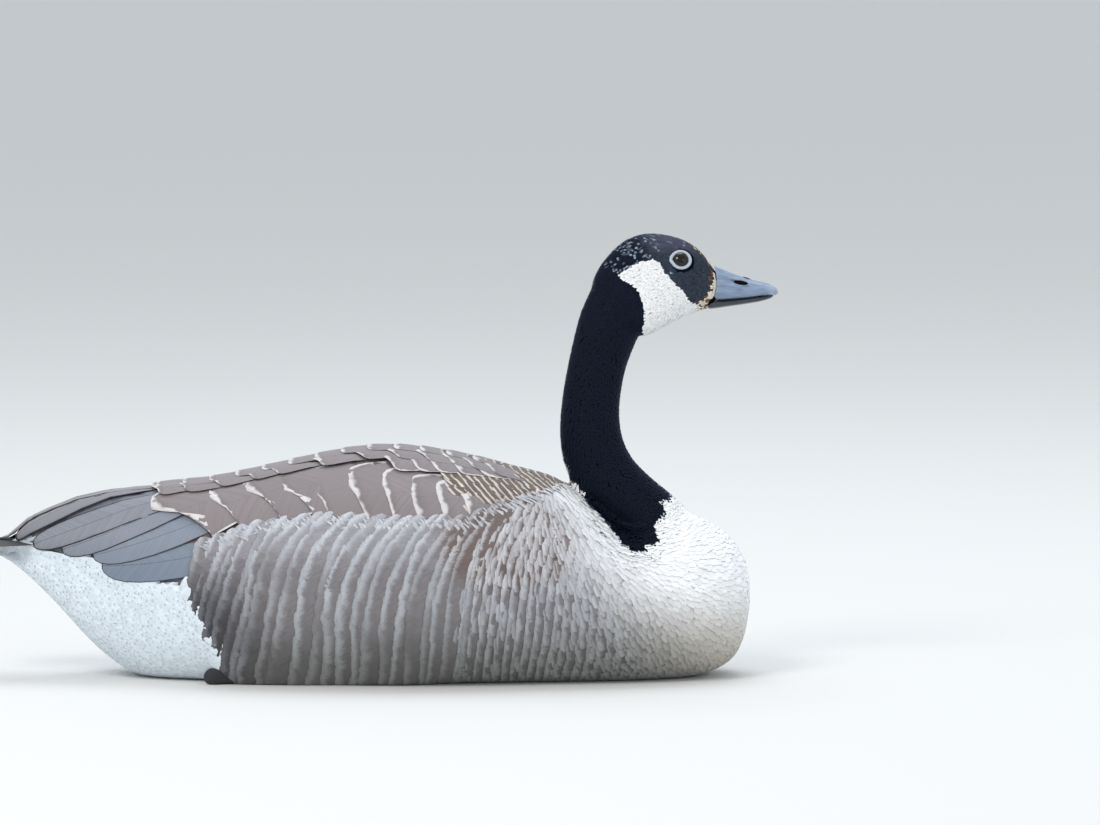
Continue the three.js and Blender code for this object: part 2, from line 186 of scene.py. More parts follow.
LEGS_WRAPPED = 3    # places by which that coat reaches further round the legs
REACH = 1.6         # a ray starts this much further out than the back or belly point
GAP_FILLED = 1      # places that closing the joints between the solids looks over
VANES_OFF = 4       # places over which the edges of thin tail vanes are taken off, behind this station
VANES_UNTIL = -225 * MM
SMOOTHING = [(11, 10), (19, 6), (28, 3), (len(SPINE), 2)]     # up to this row of the spine, so many rounds
MISSED = 2 * MM     # the radius where a ray meets no solid
DEEPEST = 0.45      # the coat's depth is at most this share of the radius
MARGIN = 0.02       # empty border of the map that a piece is baked to


def through(rows, count):
    """A smooth curve through rows of numbers, with count steps from each to the next."""
    rows = np.array(rows, float)
    padded = np.vstack([2 * rows[0] - rows[1], rows, 2 * rows[-1] - rows[-2]])
    share = np.linspace(0, 1, count, endpoint=False)[:, None]
    made = []
    for before, a, b, after in zip(padded, padded[1:], padded[2:], padded[3:]):
        pull_a, pull_b = (b - before) / 2, (after - a) / 2
        made.append((2 * share**3 - 3 * share**2 + 1) * a + (share**3 - 2 * share**2 + share) * pull_a
                    + (3 * share**2 - 2 * share**3) * b + (share**3 - share**2) * pull_b)
    return np.vstack(made + [rows[-1:]])


def unit(vectors):
    return vectors / np.maximum(np.linalg.norm(vectors, axis=-1, keepdims=True), 1e-12)


def spread(grid, size, choose, axis):
    """Each place takes the largest or smallest value of those within size of it."""
    shifted = [np.roll(grid, k, axis) for k in range(-size, size + 1)]
    return choose.reduce(shifted)


def joined_copy(nodes):
    """One object that holds merged copies of CAD nodes."""
    bpy.ops.object.select_all(action="DESELECT")
    copies = []
    for name in nodes:
        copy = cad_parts[name].copy()
        copy.data = copy.data.copy()
        copy.parent = None
        scene.collection.objects.link(copy)
        copy.select_set(True)
        copies.append(copy)
    bpy.context.view_layer.objects.active = copies[0]
    if len(copies) > 1:
        bpy.ops.object.join()
    bpy.ops.object.mode_set(mode="EDIT")
    bpy.ops.mesh.select_all(action="SELECT")
    bpy.ops.mesh.remove_doubles(threshold=1e-6)
    bpy.ops.object.mode_set(mode="OBJECT")
    return bpy.context.object


trees = []
for nodes in (FLESH, FLESH + ["leg_right", "leg_left"]):
    solid = joined_copy(nodes + ["eye_right", "eye_left"])
    trees.append(BVHTree.FromPolygons([v.co[:] for v in solid.data.vertices],
                                      [p.vertices[:] for p in solid.data.polygons]))
    bpy.data.objects.remove(solid)

line = through(SPINE, BETWEEN) * MM
STATIONS = len(line)
centre = np.zeros((STATIONS, 3))
centre[:, [0, 2]] = line[:, 0:2]
to_back, to_belly = (np.zeros((STATIONS, 3)) for _ in range(2))
to_back[:, [0, 2]] = line[:, 2:4] - line[:, 0:2]
to_belly[:, [0, 2]] = line[:, 4:6] - line[:, 0:2]
start_out = REACH * np.maximum(np.linalg.norm(to_back, axis=1), np.linalg.norm(to_belly, axis=1))
angle = np.radians(np.arange(ROUND) * DEGREES)      # 0 is the back, and the right side has positive angles
upward = np.cos(angle)[None, :, None]
outward = np.where(upward > 0, upward * unit(to_back)[:, None], -upward * unit(to_belly)[:, None])
outward = outward + np.sin(angle)[None, :, None] * np.array([0, -1.0, 0])
outward = unit(outward)
measured = np.zeros((2, STATIONS, ROUND))
for i in range(STATIONS):
    for j in range(ROUND):
        origin = Vector(centre[i] + outward[i, j] * start_out[i])
        for n in range(2):
            hit = trees[n].ray_cast(origin, Vector(-outward[i, j]), start_out[i])
            measured[n, i, j] = start_out[i] - hit[3] if hit[3] is not None else MISSED
radius, over_legs = measured[0], (measured[1] - measured[0]) * (centre[:, 0] > HEEL_X)[:, None]
for axis in (0, 1):
    over_legs = spread(over_legs, LEGS_WRAPPED, np.maximum, axis)
radius = radius + over_legs
for axis in (0, 1):
    radius = spread(radius, GAP_FILLED, np.maximum, axis)
    radius = spread(radius, GAP_FILLED, np.minimum, axis)
pared = spread(spread(radius, VANES_OFF, np.minimum, 1), VANES_OFF, np.maximum, 1)
radius = np.where((centre[:, 0] < VANES_UNTIL)[:, None], pared, radius)
rounds = np.zeros(STATIONS)
for last_row, count in reversed(SMOOTHING):
    rounds[:last_row * BETWEEN] = count
for k in range(int(rounds.max())):
    mean = (np.roll(radius, 1, 1) + 2 * radius + np.roll(radius, -1, 1)) / 4
    ends = np.vstack([mean[:1], mean, mean[-1:]])
    mean = (ends[:-2] + 2 * ends[1:-1] + ends[2:]) / 4
    radius = np.where((rounds > k)[:, None], mean, radius)
form = centre[:, None] + radius[..., None] * outward
along_form = np.gradient(form, axis=0)
round_form = (np.roll(form, -1, 1) - np.roll(form, 1, 1)) / 2
normal = unit(np.cross(along_form, round_form))
normal *= np.sign((normal * outward).sum(2, keepdims=True))
for _ in range(3):
    normal = unit(normal + np.roll(normal, 1, 1) + np.roll(normal, -1, 1))
coat = np.minimum(line[:, 6][:, None], DEEPEST * radius)
field = np.concatenate([form, normal, along_form, round_form / DEGREES, coat[..., None]], axis=2)
lengthwise = np.linalg.norm(along_form, axis=2).mean(1)
unrolled = np.cumsum(lengthwise) / lengthwise.sum() * (1 - 2 * MARGIN) + MARGIN


def on_form(t, a):
    """The outer form at station t and angle a: its place and normal, how it changes along t and along a,
    and the coat's depth."""
    t = np.clip(t, 0, STATIONS - 1.001)
    i = t.astype(int)
    f = (t - i)[..., None]
    turn = (a % 360) / DEGREES
    j = np.floor(turn).astype(int)
    g = (turn - j)[..., None]
    j, k = j % ROUND, (j + 1) % ROUND
    near = field[i, j] * (1 - g) + field[i, k] * g
    far = field[i + 1, j] * (1 - g) + field[i + 1, k] * g
    made = near * (1 - f) + far * f
    return made[..., 0:3], unit(made[..., 3:6]), made[..., 6:9], made[..., 9:12], made[..., 12]


MOST_STATIONS, MOST_DEGREES = 14, 40      # how far one step over the form goes at most


def steps_for(move, along, around):
    """How far t and a change for a move in metres over the form."""
    e, f, g = (along * along).sum(-1), (along * around).sum(-1), (around * around).sum(-1)
    p, q = (along * move).sum(-1), (around * move).sum(-1)
    det = np.maximum(e * g - f * f, 0.02 * e * g + 1e-16)
    dt, da = (g * p - f * q) / det, (e * q - f * p) / det
    return np.clip(dt, -MOST_STATIONS, MOST_STATIONS), np.clip(da, -MOST_DEGREES, MOST_DEGREES)


def bake_place(t, a):
    """The place of a root on the skin unrolled flat."""
    around = MARGIN + (1 - 2 * MARGIN) * ((a + 180) % 360) / 360
    return np.stack([np.interp(t, np.arange(STATIONS), unrolled), around], -1)


def seen(place):
    """x and z as the camera sees them from a little above, alike on both sides, in mm."""
    return place[..., 0] / MM, (place[..., 2] - np.tan(CAMERA_UP) * np.abs(place[..., 1])) / MM


def inside(x, z, outline):
    """Which points lie in an outline."""
    odd = np.zeros(np.shape(x), bool)
    for (ax, az), (bx, bz) in zip(outline, outline[1:] + outline[:1]):
        crosses = (az > z) != (bz > z)
        odd ^= crosses & (x < (bx - ax) * (z - az) / ((bz - az) or 1e-9) + ax)
    return odd


def smooth(value, low, high):
    share = np.clip((value - low) / (high - low), 0, 1)
    return share * share * (3 - 2 * share)


def waves(place, size):
    """A soft random value about 0, up to about 1, that changes over size in metres."""
    x, y, z = (place[..., i] / size for i in range(3))
    return (np.sin(1.7 * x + 0.8 * z + 1.3 * np.sin(1.1 * y + 0.7 * z))
            + np.sin(1.9 * z - 0.9 * y + 1.7 * np.sin(0.8 * x + 2.1)) + np.sin(1.3 * y + 1.2 * x + 4.2)) / 3


def station_of_row(row):
    """The station at a row of the spine."""
    return row * BETWEEN


# Lines of the markings in the side view, as x and z in mm: the black neck's ragged edge on the breast and
# the area that it closes, the white cheek, the flank's top under the wing, its rear at the vent, and the
# wing's underside.
NECK_EDGE = [(229.5, 133.8), (222, 128), (226, 121.6), (216, 112), (218.5, 103.4), (207.5, 92.7),
             (199.9, 92.7), (188.5, 99.6), (180.9, 111), (173.3, 120.8), (165.7, 128.4), (158.1, 135.3),
             (150.5, 147.4)]
BLACK_AREA = NECK_EDGE + [(141, 152), (100, 300), (150, 345), (330, 345), (330, 250), (245, 150)]
CHEEK = [(186.2, 303.2), (192.3, 308.6), (203.7, 314.6), (211.3, 316.2), (215.1, 314.6), (218.9, 310.8),
         (222.7, 304.8), (226.5, 301), (234.1, 292.6), (241.7, 284.2), (248.5, 279.5), (252, 262),
         (204.4, 247), (204.4, 258.4), (206, 274.4), (204.4, 285.8), (202.2, 291.1), (197.6, 295.6),
         (190, 299.4)]
FLANK_TOP = [(-141, 76), (-129, 101), (-93, 115), (-40, 122.5), (21, 120), (71, 121), (101, 134),
             (138, 143), (150.5, 147.4)]
FLANK_REAR = [(-20, -114), (25, -122), (45, -133), (67, -141), (101, -129)]      # z, then x
WING_UNDER = [(-290, 97), (-270, 97), (-258, 94), (-246, 91), (-229, 90), (-198, 79), (-174, 70),
              (-141, 67)]
NECK_FROM, CHEEK_FROM, HEAD_FROM = station_of_row(12), station_of_row(28), station_of_row(29)
WING_UNTIL, MANTLE_UNTIL, BREAST_UNTIL = station_of_row(11), station_of_row(19), station_of_row(24)
MANTLE_FRONT = 152      # x where the back's brown ends at the neck
# The vent's white is a little darker and bluer as painted shade under the tail.
WHITE, SKY_SHADED_VENT_WHITE, LOW_CREAM = linear("#fafafa"), linear("#e2ebf2"), linear("#b9b3a7")
BLACK = linear("#0b1422")
# The pale bars' faint blue is painted sky light. High on the flank the colours are paler, partly their own
# tone and partly painted light from above; low down and behind they are darker, partly their own tone and
# partly painted shade.
FLANK_GREY, FLANK_BAR = linear("#7f7b7d"), linear("#b6b8be")
LIT_HIGH_GREY, LIT_HIGH_BAR = linear("#9c9a9f"), linear("#d2d4da")
SHADED_LOW_GREY, SHADED_LOW_BAR = linear("#696766"), linear("#999a99")
SHADED_REAR_BROWN, SHADED_REAR_BAR = linear("#454346"), linear("#787a80")
SHOULDER_BROWN, SHOULDER_BAR = linear("#6f615c"), linear("#c9c8cb")
MANTLE_BROWN, MANTLE_PALE = linear("#75675f"), linear("#d6cdc4")


def read_off(pairs, at):
    """The second number of a list of pairs, read off where the first one is at."""
    return np.interp(at, *zip(*pairs))


def mixed(a, b, share):
    share = np.asarray(share)[..., None]
    return a * (1 - share) + b * share


def marking(t, place, wings=True):
    """The colour of the feathers at a place, and of their edges. The flank's colours are paler high up and
    darker low down and behind, partly their own tones and partly painted light and shade. Without wings the
    flank's colours go on up. Each colour fades in between two heights or lengths in mm."""
    x, z = seen(place)
    ragged = 2.2 * waves(place, 4 * MM)
    black = inside(x + ragged, z - ragged, BLACK_AREA) & (t > NECK_FROM)
    cheek = inside(x + 0.3 * ragged, z + 0.3 * ragged, CHEEK) & (t > CHEEK_FROM)
    wing = (z > read_off(FLANK_TOP, x)) & (t < MANTLE_UNTIL) & (x < MANTLE_FRONT) & wings
    vent = (x < read_off(FLANK_REAR, z)) & (z < read_off(WING_UNDER, x) + 4)
    # Painted light and shade mixed with the flank's own tones: lighter high up, darker towards the floor,
    # darkest behind.
    high, low = smooth(z, 78, 122), smooth(-z, -66, -6)
    rear = smooth(-x, 62, 130) * smooth(-z, -104, -50)
    white = smooth(x + 0.8 * (z - 60), 138, 246)
    shoulder = 0.9 * smooth(1 - ((x - 100) / 62) ** 2 - ((z - 106) / 46) ** 2, 0, 0.6)
    made = []
    for mid, top, foot, behind, front, back, vented in (
            (FLANK_GREY, LIT_HIGH_GREY, SHADED_LOW_GREY, SHADED_REAR_BROWN, SHOULDER_BROWN, MANTLE_BROWN, SKY_SHADED_VENT_WHITE),
            (FLANK_BAR, LIT_HIGH_BAR, SHADED_LOW_BAR, SHADED_REAR_BAR, SHOULDER_BAR, MANTLE_PALE, SKY_SHADED_VENT_WHITE)):
        tint = mixed(mixed(mixed(mid, top, high), foot, low), behind, rear)
        tint = mixed(mixed(tint, mixed(WHITE, LOW_CREAM, smooth(-z, -78, -8)), white), front, shoulder)
        tint = np.where(wing[..., None], back, tint)
        # The vent's colour carries painted blue shade.
        tint = np.where(vent[..., None], vented, tint)
        tint = np.where(black[..., None], BLACK, tint)
        made.append(np.where(cheek[..., None], WHITE, tint))
    return made


def mesh_piece(name, points, faces_at, corners, material):
    """An object at the origin from flat arrays: its points, and each face's first corner and corners."""
    mesh = bpy.data.meshes.new(name)
    mesh.vertices.add(len(points))
    mesh.vertices.foreach_set("co", np.ascontiguousarray(points, np.float32).ravel())
    mesh.loops.add(len(corners))
    mesh.loops.foreach_set("vertex_index", corners.astype(np.int32))
    mesh.polygons.add(len(faces_at))
    mesh.polygons.foreach_set("loop_start", faces_at.astype(np.int32))
    mesh.update(calc_edges=True)
    mesh.polygons.foreach_set("use_smooth", np.ones(len(faces_at), bool))
    mesh.materials.append(material)
    made = bpy.data.objects.new(name, mesh)
    scene.collection.objects.link(made)
    return made


def paint_points(mesh, name, values):
    """Gives each point of a mesh a colour or a number that its material reads."""
    values = np.asarray(values, np.float32)
    if values.ndim == 1:
        mesh.attributes.new(name, "FLOAT", "POINT").data.foreach_set("value", values)
        return
    full = np.concatenate([values, np.ones((len(values), 1), np.float32)], axis=1)
    mesh.color_attributes.new(name, "FLOAT_COLOR", "POINT").data.foreach_set("color", full.ravel())


skin_places = form - normal * coat[..., None]
grid = np.arange(STATIONS * ROUND).reshape(STATIONS, ROUND)
lower, upper = grid[:-1], grid[1:]
quads = np.stack([lower, np.roll(lower, -1, 1), np.roll(upper, -1, 1), upper], -1).reshape(-1, 4)
tail_end, head_end = STATIONS * ROUND, STATIONS * ROUND + 1
skin_points = np.vstack([skin_places.reshape(-1, 3), skin_places[0].mean(0), skin_places[-1].mean(0)])
tail_cap = np.stack([np.roll(grid[0], -1), grid[0], np.full(ROUND, tail_end)], -1)
head_cap = np.stack([grid[-1], np.roll(grid[-1], -1), np.full(ROUND, head_end)], -1)
a, b, c = (skin_points[quads[len(quads) // 2][i]] for i in range(3))
if np.dot(np.cross(b - a, c - b), normal.reshape(-1, 3)[quads[len(quads) // 2][0]]) < 0:
    quads, tail_cap, head_cap = quads[:, ::-1], tail_cap[:, ::-1], head_cap[:, ::-1]
corners = np.concatenate([quads.ravel(), tail_cap.ravel(), head_cap.ravel()])
sizes = np.concatenate([np.full(len(quads), 4), np.full(2 * ROUND, 3)])
# Down is matt and soft, and shows only in the gaps between the feathers, in their own colour made a fifth
# darker.
skin_down, tree = new_material("down and skin under the coat")
tint = node(tree, "Attribute", attribute_name="tint")
soft = node(tree, "TexNoise", {"Scale": 900.0, "Detail": 2.0})
shade = node(tree, "MapRange", {"Value": soft.outputs["Fac"], "To Min": 0.7, "To Max": 1.1})
colour = node(tree, "Mix", {0: 1.0, 6: tint.outputs["Color"], 7: shade.outputs["Result"]},
              data_type="RGBA", blend_type="MULTIPLY")
surface(tree, Base_Color=colour.outputs[2], Roughness=0.95, Specular_IOR_Level=0.1)
skin = mesh_piece("skin", skin_points, np.concatenate([[0], np.cumsum(sizes)[:-1]]), corners, skin_down)
station, turned = np.meshgrid(np.arange(STATIONS), np.arange(ROUND) * DEGREES, indexing="ij")
skin_tint = marking(station, form)[0].reshape(-1, 3)
paint_points(skin.data, "tint", 0.8 * np.vstack([skin_tint, skin_tint[:1], skin_tint[-1:]]))
flat = bake_place(station, turned).reshape(-1, 2)
flat = np.vstack([flat, flat[ROUND // 2], flat[-ROUND // 2]])[corners]
face_of = np.repeat(np.arange(len(sizes)), sizes)
highest = np.zeros(len(sizes))
np.maximum.at(highest, face_of, flat[:, 1])
flat[:, 1] += (highest[face_of] - flat[:, 1] > 0.5) * (1 - 2 * MARGIN)
skin.data.uv_layers.new(name="OFBake").data.foreach_set("uv", flat.astype(np.float32).ravel())
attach(skin, "root")
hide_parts(*FLESH)

# The head's feathers are the smallest, a few millimetres of black or white velvet that lie back from the
# bill. Each is a thin closed vane set on the form: rooted in the skin, over the next one's root, with its
# tip at the form. A vane's shape is a list of shares of the length from the root, with the share of the
# width there.
TINY = [(0, 0.45), (0.55, 1), (0.87, 0.75), (1, 0.2)]
FLOOR_GAP = 0.4 * MM       # the lowest that a feather comes


def frame_at(t, a, side):
    """On the form: its place and normal, the ways back to the tail and down the side, and how it changes
    along t and along a."""
    place, up, along, around = on_form(t, a)[:4]
    back = unit(-along)
    down = side[..., None] * around
    down = unit(down - (down * back).sum(-1, keepdims=True) * back)
    return place, up, back, down, along, around


def signed(a):
    """An angle from -180 to 180, which is positive on the right side."""
    return (a + 180) % 360 - 180


def lay(t, a, turn, length, width, shape, teeth, slant, depth, lift, camber, roll, dive):
    """Vanes laid on the form from their tips, which point back and turn down by turn degrees. Each keeps
    close under the form and dives to its root, the later the larger dive is. teeth holds for each lane
    along a vane how much shorter it ends than the tip, and slant how much shorter the whole lower side
    is. Gives the upper side's points and normals, by vane, station and lane, and where the roots are."""
    side = np.where(signed(a) >= 0, 1.0, -1.0)
    way = np.radians(turn)[:, None]
    shares = [share for share, _ in shape]
    lanes = teeth.shape[1]
    tops, ups = [], []
    for k in reversed(range(len(shape))):
        up, back, down, along, around = frame_at(t, a, side)[1:]
        lie = np.cos(way) * back + np.sin(way) * down
        across = np.cross(up, lie)
        height = lift * shares[k] ** 2 - depth * (1 - shares[k]) ** dive
        half = width * shape[k][1] / 2
        row_top, row_up = [], []
        for n, lane in enumerate(np.linspace(-1, 1, lanes)):
            lower = (1 + lane * side) / 2
            shorter = teeth[:, n] * smooth(shares[k], 0.9, 1) + slant * lower * shares[k] ** 2
            dt, da = steps_for(across * (lane * half)[:, None] - lie * shorter[:, None], along, around)
            p, out = on_form(t + dt, a + da)[:2]
            h = height + side * roll * lane * half - camber * half * lane * lane
            row_top.append(p + out * h[:, None])
            row_up.append(out)
        tops.append(np.stack(row_top, 1))
        ups.append(np.stack(row_up, 1))
        if k:
            dt, da = steps_for(-lie * (length * (shares[k] - shares[k - 1]))[:, None], along, around)
            t, a = t + dt, a + da
    return np.stack(tops[::-1], 1), np.stack(ups[::-1], 1), t, a


def vane_piece(name, laid, shape, length, width, tint, edge, fringe, seed, thick, patch, material, sides):
    """One mesh of closed vanes. fringe is the width of the edge's colour at the tip. It is sides times
    narrower along the sides, and with 0 only at the tip. patch is a vane's size on the map that it is
    baked to."""
    tops, ups, root_t, root_a = laid
    count, stations, lanes = tops.shape[:3]
    lane = np.linspace(-1, 1, lanes)
    shares = np.array([share for share, _ in shape])
    widths = np.array([part for _, part in shape])
    under = slice(lanes - 2, 0, -1)
    ring = np.concatenate([tops, tops[:, :, under] - thick * ups[:, :, under]], axis=2)
    ring[..., 2] = np.maximum(ring[..., 2], FLOOR_GAP)
    lies = np.concatenate([ups, ups[:, :, under]], axis=2).astype(np.float32)
    lane_of = np.concatenate([lane, lane[under]])
    rings = len(lane_of)
    half = width[:, None] * widths / 2
    across = half[:, :, None] * lane_of
    from_tip = np.broadcast_to((length[:, None] * (1 - shares))[:, :, None], across.shape)
    from_side = half[:, :, None] * (1 - np.abs(lane_of))
    rim = (np.minimum(sides * from_side, from_tip) if sides else from_tip) / fringe[:, None, None]
    points = ring.reshape(-1, 3)
    each = stations * rings
    k, m = np.meshgrid(np.arange(stations - 1), np.arange(rings), indexing="ij")
    n = (m + 1) % rings
    quads = np.stack([k * rings + m, (k + 1) * rings + m, (k + 1) * rings + n, k * rings + n], -1).ravel()
    caps = [np.arange(rings), each - 1 - np.arange(rings)]
    one = np.concatenate([quads, *caps])
    starts = np.concatenate([np.arange(len(quads) // 4) * 4, len(quads) + np.array([0, rings])])
    first = np.arange(count)[:, None]
    corners = (one[None] + first * each).ravel()
    piece = mesh_piece(name, points, (starts[None] + first * len(one)).ravel(), corners, material)
    mesh = piece.data
    ends = np.zeros(2 * len(mesh.edges), np.int32)
    mesh.edges.foreach_get("vertices", ends)
    at_side = np.isin(ends % each % rings, [0, lanes - 1]).reshape(-1, 2)
    same_side = ends[::2] % rings == ends[1::2] % rings
    sharp = at_side.all(1) & same_side
    mesh.attributes.new("sharp_edge", "BOOLEAN", "EDGE").data.foreach_set("value", sharp)
    mesh.attributes.new("lie", "FLOAT_VECTOR", "POINT").data.foreach_set("vector", lies.ravel())
    paint_points(mesh, "tint", np.repeat(tint, each, 0))
    paint_points(mesh, "edge", np.repeat(edge, each, 0))
    paint_points(mesh, "rim", rim.ravel())
    paint_points(mesh, "vane", np.repeat(seed, each))
    drawn = np.stack([across, from_tip], -1).reshape(-1, 2)[corners]
    mesh.uv_layers.new(name="Vane").data.foreach_set("uv", drawn.astype(np.float32).ravel())
    spot = bake_place(root_t, root_a)[:, None, None]
    local = np.stack(np.broadcast_arrays(lane_of * 0.5, shares[:, None] - 0.5), -1)
    flat = (spot + patch * local).reshape(-1, 2)[corners]
    mesh.uv_layers.new(name="OFBake").data.foreach_set("uv", flat.astype(np.float32).ravel())
    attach(piece, "root")
    return piece


BARB_DRAWN = 1000.0       # waves in a metre for barbs that are 1 mm apart
DRIFT_SCALE = 110.0       # the edges widen and narrow over about 9 mm


def plumage(name, roughness, shine, sheen, barbs, soft, blur=0.25, dark_band=0.0, shaft=0.0, fray=0.35,
            wander=0.0, gloss="#ffffff"):
    """A feather's vane of horn so fine that it looks like cloth: matt, with a faint sheen. It has barbs
    that slant from a shaft, an edge in another colour, which blur softens, fray breaks up and wander
    widens here and there, and a darker band inside the edge. barbs is their spacing in mm. Real ones are
    0.3 mm apart, too fine to show, so they are drawn coarser. soft is how far light falls on it as on the
    coat's whole form."""
    made, tree = new_material(name)
    tint = node(tree, "Attribute", attribute_name="tint").outputs["Color"]
    edge = node(tree, "Attribute", attribute_name="edge").outputs["Color"]
    rim = node(tree, "Attribute", attribute_name="rim").outputs["Fac"]
    number = node(tree, "Attribute", attribute_name="vane").outputs["Fac"]
    drawn = node(tree, "SeparateXYZ", {0: node(tree, "UVMap", uv_map="Vane").outputs["UV"]})
    away = node(tree, "Math", {0: drawn.outputs["X"]}, operation="ABSOLUTE").outputs[0]
    along = node(tree, "Math", {0: away, 1: drawn.outputs["Y"]}, operation="ADD").outputs[0]
    barb_at = node(tree, "CombineXYZ", {"X": along, "Z": number})
    scale = (BARB_DRAWN / barbs, 1.0, 97.0)
    spaced = node(tree, "VectorMath", {0: barb_at.outputs[0], 1: scale}, operation="MULTIPLY").outputs[0]
    barb = node(tree, "TexNoise", {"Vector": spaced, "Scale": 1.0, "Detail": 2.0}).outputs["Fac"]
    lifted = node(tree, "Math", {0: barb, 1: fray, 2: -fray / 2}, operation="MULTIPLY_ADD").outputs[0]
    here = node(tree, "TexCoord").outputs["Object"]
    slow = node(tree, "TexNoise", {"Vector": here, "Scale": DRIFT_SCALE, "Detail": 1.0}).outputs["Fac"]
    swing = {0: slow, 1: 4 * wander, 2: -2 * wander}
    drift = node(tree, "Math", swing, operation="MULTIPLY_ADD").outputs[0]
    wandered = node(tree, "Math", {0: rim, 1: drift}, operation="ADD").outputs[0]
    frayed = node(tree, "Math", {0: wandered, 1: lifted}, operation="ADD").outputs[0]
    at_edge = node(tree, "MapRange", {"Value": frayed, "From Min": 1 + blur, "From Max": 1 - blur},
                   interpolation_type="SMOOTHSTEP").outputs["Result"]
    streak = node(tree, "MapRange", {"Value": barb, "From Min": 0.3, "From Max": 0.7,
                                     "To Min": 0.86, "To Max": 1.1}).outputs["Result"]
    band = node(tree, "MapRange", {"Value": rim, "From Min": 1.0, "From Max": 3.4, "To Min": 1 - dark_band,
                                   "To Max": 1.0}, interpolation_type="SMOOTHSTEP").outputs["Result"]
    quill = node(tree, "MapRange", {"Value": away, "From Min": 0.0002, "From Max": 0.0006,
                                    "To Min": 1 - shaft, "To Max": 1.0}).outputs["Result"]
    depth = node(tree, "Math", {0: band, 1: quill}, operation="MULTIPLY").outputs[0]
    vane = node(tree, "VectorMath", {0: tint, "Scale": depth}, operation="SCALE").outputs[0]
    both = node(tree, "Mix", {0: at_edge, 6: vane, 7: edge}, data_type="RGBA").outputs[2]
    colour = node(tree, "VectorMath", {0: both, "Scale": streak}, operation="SCALE").outputs[0]
    facing = node(tree, "NewGeometry").outputs["Normal"]
    lie = node(tree, "Attribute", attribute_name="lie").outputs["Vector"]
    between = node(tree, "Mix", {0: soft, 4: facing, 5: lie}, data_type="VECTOR").outputs[1]
    settled = node(tree, "VectorMath", {0: between}, operation="NORMALIZE").outputs[0]
    ridges = node(tree, "Bump", {"Height": barb, "Distance": 0.0002, "Strength": 0.5 - 0.4 * soft,
                                 "Normal": settled}).outputs["Normal"]
    surface(tree, Base_Color=colour, Roughness=roughness, Specular_IOR_Level=shine, Sheen_Weight=sheen,
            Sheen_Roughness=0.4, Sheen_Tint=(*linear(gloss), 1), Normal=ridges)
    return made


TRIES = 5      # places tried for each feather that there is room for


def scatter(where, spacing, seed):
    """Places over part of the form, none nearer to another than spacing: their stations and angles."""
    rng = np.random.default_rng(seed)
    area = np.linalg.norm(np.cross(along_form, round_form), axis=2)[:-1]
    wanted = area * where(station, turned, form)[:-1]
    count = int(TRIES * wanted.sum() / spacing**2)
    cell = np.searchsorted(np.cumsum(wanted.ravel()), rng.random(count) * wanted.sum())
    t = cell // ROUND + rng.random(count)
    a = signed((cell % ROUND + rng.random(count)) * DEGREES)
    place = on_form(t, a)[0]
    kept = where(t, a, place)
    t, a, place = t[kept], a[kept], place[kept]
    tree = KDTree(len(t))
    for i, spot in enumerate(place):
        tree.insert(spot, i)
    tree.balance()
    free = np.ones(len(t), bool)
    for i, spot in enumerate(place):
        if free[i]:
            free[[j for _, j, _ in tree.find_range(spot, spacing) if j > i]] = False
    return t[free], a[free]


def coat_of(name, t, a, turn, length, width, shape, material, seed, lift=0.0, lanes=3,
            thick=0.12 * MM, fringe=1.5 * MM, sink=0.3 * MM, vary=0.1, stray=4, patch=0.003, colours=None,
            camber=0.05, roll=0.02, shade=0.06, dive=3.0, sides=1.5, loose=0.03, uneven=0.2, wings=True,
            ragged=0.0, slant=0.0):
    """A piece of the coat: feathers with their tips at these places, varied as real ones are: by stray
    degrees in their turn, and by shares of vary in size, shade in brightness, uneven in their edge and
    loose in height. sink roots them deeper than the coat is, and ragged and slant shorten them here and
    there at the tip."""
    rng = np.random.default_rng(seed)
    count = len(t)
    one = np.ones(count)

    def draw(size):
        return 1 + size * rng.uniform(-1, 1, count)

    length, width, fringe = one * length * draw(vary), one * width * draw(vary), one * fringe * draw(uneven)
    turn = one * turn + stray * rng.normal(0, 1, count)
    tint, edge = colours or marking(t, on_form(t, a)[0], wings)
    edge = mixed(edge, tint, uneven * rng.random(count))
    coat_here = on_form(t, a)[4]
    lift = one * lift * draw(0.12) + loose * coat_here * rng.uniform(-1, 1, count)
    teeth = ragged * rng.random((count, lanes))
    depth = coat_here + sink
    laid = lay(t, a, turn, length, width, shape, teeth, slant * one, depth, lift, camber, roll, dive)
    light = draw(shade)[:, None]
    piece = vane_piece(name, laid, shape, length, width, tint * light, edge * light, fringe,
                       rng.uniform(0, 1, count), thick, patch, material, sides)


EYE = (233.5, 316)            # the eye's centre in the side view, in mm
EYE_BARE = (10.4, 9.4)        # half the length and height of what the lids cover
BILL_EDGE = [(283, 254), (285.8, 254.6), (287.3, 258.4), (293.4, 262.2), (301, 261.4), (308.6, 259.2),
             (313.9, 256.9), (318, 254)]      # z, then x, where the feathers end at the bill
BARE_LOW, BARE_HIGH = 286, 307                # z of the pale worn patch at the bill's root
BARE_REACH = [(286, 4), (290, 6.4), (298, 5), (307, 1.6)]      # z, then how far back it reaches
SPECKLED = ((194, 320), (19, 12.5), 0.5)      # grey flecks behind the crown: centre, half size, share
BLACK_BELOW = 0.1             # a colour with less red than this is one of the black markings
HEAD_BLACK, FLECK, STAIN = linear("#0e1626"), linear("#8f9fb2"), linear("#6d4f38")
# The crown's grey is painted sheen on the black feathers, and SUNLIT is a painted highlight.
FACE_SLATE, CROWN_SHEEN_GREY, SUNLIT = linear("#343c48"), linear("#4a4e5d"), linear("#c9c3ab")
BARE_PATCH = linear("#ddd6c6")
HEAD_LENGTH, HEAD_WIDTH, HEAD_SPACING = 4.6 * MM, 2.1 * MM, 1.2 * MM
